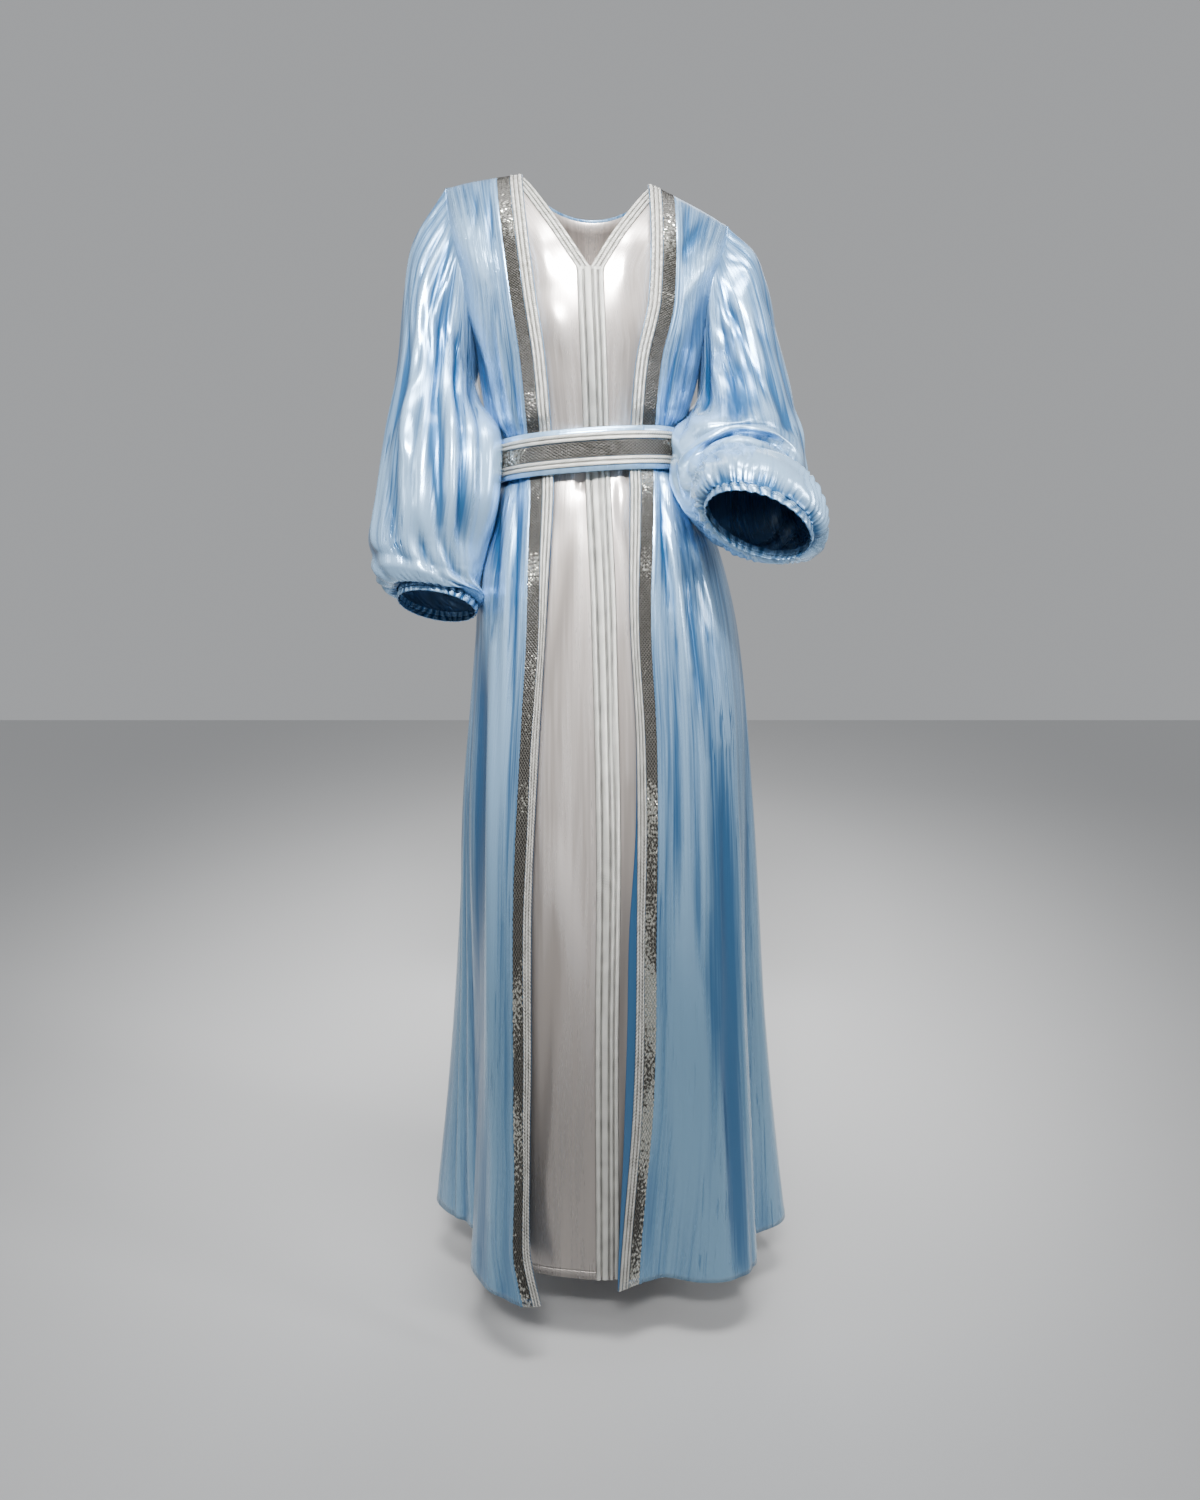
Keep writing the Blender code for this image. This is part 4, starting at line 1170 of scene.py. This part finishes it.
# %% Front trims
def on_front(side):
    def on_cloth(offset, down, lift):
        depth = robe_depth(down)
        angle, stand = front_edge(side, offset, depth, lift + CLOTH + 0.0002)
        points = lifted(robe_form, angle, depth, stand * blend(-0.01, 0.02, depth))
        points[..., 1] = np.minimum(points[..., 1], 0.0)
        return points

    return on_cloth


EDGE_CORDS = ((0.0004, 0.0046, 0.0011, 1.0), (0.0053, 0.0048, 0.0009, -1.0), (0.0104, 0.0038, 0.0012, 1.0))
# Which stretches of each mirror band catch the light: share of the length, lighter or darker
SHEEN = {
    -1: ((0.0, -0.02), (0.10, 0.06), (0.16, -0.20), (0.25, -0.12), (0.29, 0.08), (0.36, -0.04),
         (0.6, -0.06), (0.8, 0.02), (1.0, 0.02)),
    1: ((0.0, -0.08), (0.12, 0.10), (0.20, -0.10), (0.27, -0.22), (0.32, -0.20), (0.36, 0.22), (0.42, 0.05),
        (0.50, -0.15), (0.66, -0.08), (0.72, 0.16), (1.0, 0.10)),
}
trims = {}
for side, name in ((-1, "right"), (1, "left")):
    trims[side] = [
        placed(braid(f"robe_braid_{name}_cords", ROBE_LENGTH, on_front(side), EDGE_CORDS, silver_braid),
               "silver_braid", f"robe_braid_{name}"),
        placed(mirrors(f"robe_mirror_{name}_net", ROBE_LENGTH, BRAID_WIDTH, MIRROR_WIDTH, on_front(side),
                       4, SHEEN[side]), "mirror_mesh", f"robe_mirror_{name}"),
    ]

# %% Dress trims
CENTRE_CORDS = (
    (-0.0153, 0.0068, 0.0010, 1.0), (-0.0078, 0.0096, 0.0008, -1.0),
    (0.0027, 0.0048, 0.0012, 1.0), (0.0084, 0.0068, 0.0010, -1.0),
)
NECK_EDGE = 0.165
NECK_OVERRUN = 0.004
NECK_CORDS = ((0.0004, 0.0048, 0.0010, 1.0), (0.0058, 0.0048, 0.0010, -1.0), (0.0112, 0.0048, 0.0010, 1.0))


def on_dress(side, start, end):
    def on_cloth(offset, down, lift):
        depth = start + (end - start) * down
        angle = dress_edge_angle(side, offset, depth)
        stand = dress_folds(angle, depth) * blend(0, 0.03, depth) + lift + CLOTH + 0.0002
        points = lifted(dress_form, angle, depth, stand)
        points[..., 1] = np.minimum(points[..., 1], 0.0)
        return points

    return on_cloth


centre_braid = placed(
    braid("centre_braid_cords", DRESS_LENGTH - V_NECK_DEPTH, on_dress(1, V_NECK_DEPTH, DRESS_LENGTH),
          CENTRE_CORDS, silver_braid), "silver_braid", "centre_braid")
neck_braids = {}
for side, name in ((-1, "right"), (1, "left")):
    neck_braids[side] = placed(
        braid(f"neck_braid_{name}_cords", NECK_EDGE, on_dress(side, 0.0, V_NECK_DEPTH + NECK_OVERRUN),
              NECK_CORDS, silver_braid), "silver_braid", f"neck_braid_{name}")

# %% [markdown]
# ## The belt
# The belt is a stiffened band covered in the robe's satin, with a rolled edge above and below. Two
# braids and a wider mirror band are stitched round it.

# %% Belt
def on_belt(offset, down, lift):
    """A point on the belt: offset is the height below its top edge, down goes once round it."""
    angle = down * 2 * pi + pi
    at = lifted(robe_form, angle, angle * 0 + BELT_DEPTH, BELT_STANDOFF + lift)
    at[..., 2] = -BELT_DEPTH + BELT_TILT * at[..., 0] + BELT_HEIGHT / 2 - offset
    return at


BELT_ROUND = 0.67
BELT_GIRTH = 0.105
BELT_MIRROR_START, BELT_MIRROR_WIDTH = 0.0155, 0.0178
# Which stretches of the belt's mirror band are painted as lit: share of the length, lighter or darker.
BELT_SHEEN = ((0.0, 0.1), (0.36, 0.08), (0.46, -0.22), (0.58, -0.2), (0.66, 0.1), (1.0, 0.1))


def belt_profile(across, down):
    """Round the belt's own section: outer face, rolled lower edge, inner face, rolled upper edge."""
    k = down * 16
    face = np.interp(k, (0, 7, 8, 9, 15, 16), (0.0, 1.0, 1.02, 1.0, 0.0, 0.0))
    out = np.interp(k, (0, 1, 6, 7, 8, 9, 15, 16), (0.0022, 0.0019, 0.0019, 0.0022, 0.0008, 0, 0, 0.0022))
    edge = np.interp(np.abs(face - 0.5), (0, 0.46, 0.5), (0, 0, 1)) * (out > 0.001)
    points = on_belt(face * BELT_HEIGHT, across, out + edge * 0.0006)
    points[:, -1] = points[:, 0]
    # The rolled edges get a higher fold reading, so the satin paints them lighter: a painted highlight along the
    # rolls.
    return points, {"fold": 0.25 + edge * 0.5, "stitch": 1.0}


belt_band = placed(
    cloth("belt_band_cloth", 200, 16, (BELT_ROUND, BELT_GIRTH), belt_profile, sky_satin, thick=0,
          ring=True, flip=True), "sky_satin", "belt_band")
BELT_FACE = BELT_CLOTH + 0.0005


def on_face(offset, down, lift):
    return on_belt(offset, down, lift + BELT_FACE)


belt_trims = [
    placed(braid("belt_braid_upper_cords", BELT_ROUND, on_face,
                 ((0.0055, 0.0046, 0.0009, 1.0), (0.0104, 0.0046, 0.0009, -1.0)), silver_braid, closed=True),
           "silver_braid", "belt_braid_upper"),
    placed(mirrors("belt_mirror_net", BELT_ROUND, BELT_MIRROR_START, BELT_MIRROR_WIDTH, on_face,
                   5, BELT_SHEEN), "mirror_mesh", "belt_mirror"),
    placed(braid("belt_braid_lower_cords", BELT_ROUND, on_face,
                 ((0.0338, 0.0046, 0.0009, 1.0), (0.0388, 0.0050, 0.0009, -1.0)), silver_braid, closed=True),
           "silver_braid", "belt_braid_lower"),
]

# %% [markdown]
# ## What each cloth was cut to
# Each sheet is declared with a flat size, so that its area can be compared with the cloth. The backs
# and the dress fronts have the size of their cut. The robe fronts, sleeves and cuffs have the size of
# the cloth as it is modelled here: their folds are shallower than real ones, and a maker would cut
# them fuller. The belt has the size of the finished band.

# %% Sheets
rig.sheet(robe_back, (1.30, 1.42), "hung", rests_on=["dress_back"], area=1.0)
for side, name in ((-1, "right"), (1, "left")):
    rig.sheet(robe_fronts[side], (0.44, 1.42), "hung", rests_on=[f"dress_front_{name}"], area=0.34,
             with_pieces=trims[side])
    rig.sheet(sleeves[side], (0.50, 0.50), "gathered", rests_on=[f"cuff_{name}"])
    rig.sheet(cuffs[side], (0.42, 0.0145), "gathered", rests_on=[f"sleeve_{name}"])
    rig.sheet(dress_fronts[side], (0.26, 1.40), "hung", rests_on=["dress_back"],
             with_pieces=[neck_braids[side]] + ([centre_braid] if side > 0 else []))
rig.sheet(dress_back, (0.50, 1.40), "hung", rests_on=["dress_front_left"])
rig.sheet(belt_band, (BELT_ROUND, BELT_HEIGHT), "stretched", rests_on=["robe_back"], with_pieces=belt_trims)

# %% Sizes
visual_box = [list(corner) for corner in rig.bounds()]
print("finished model from", visual_box[0], "to", visual_box[1])
with open("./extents.json", "w") as sizes:
    json.dump({"solid": solid_box, "visual": visual_box}, sizes)
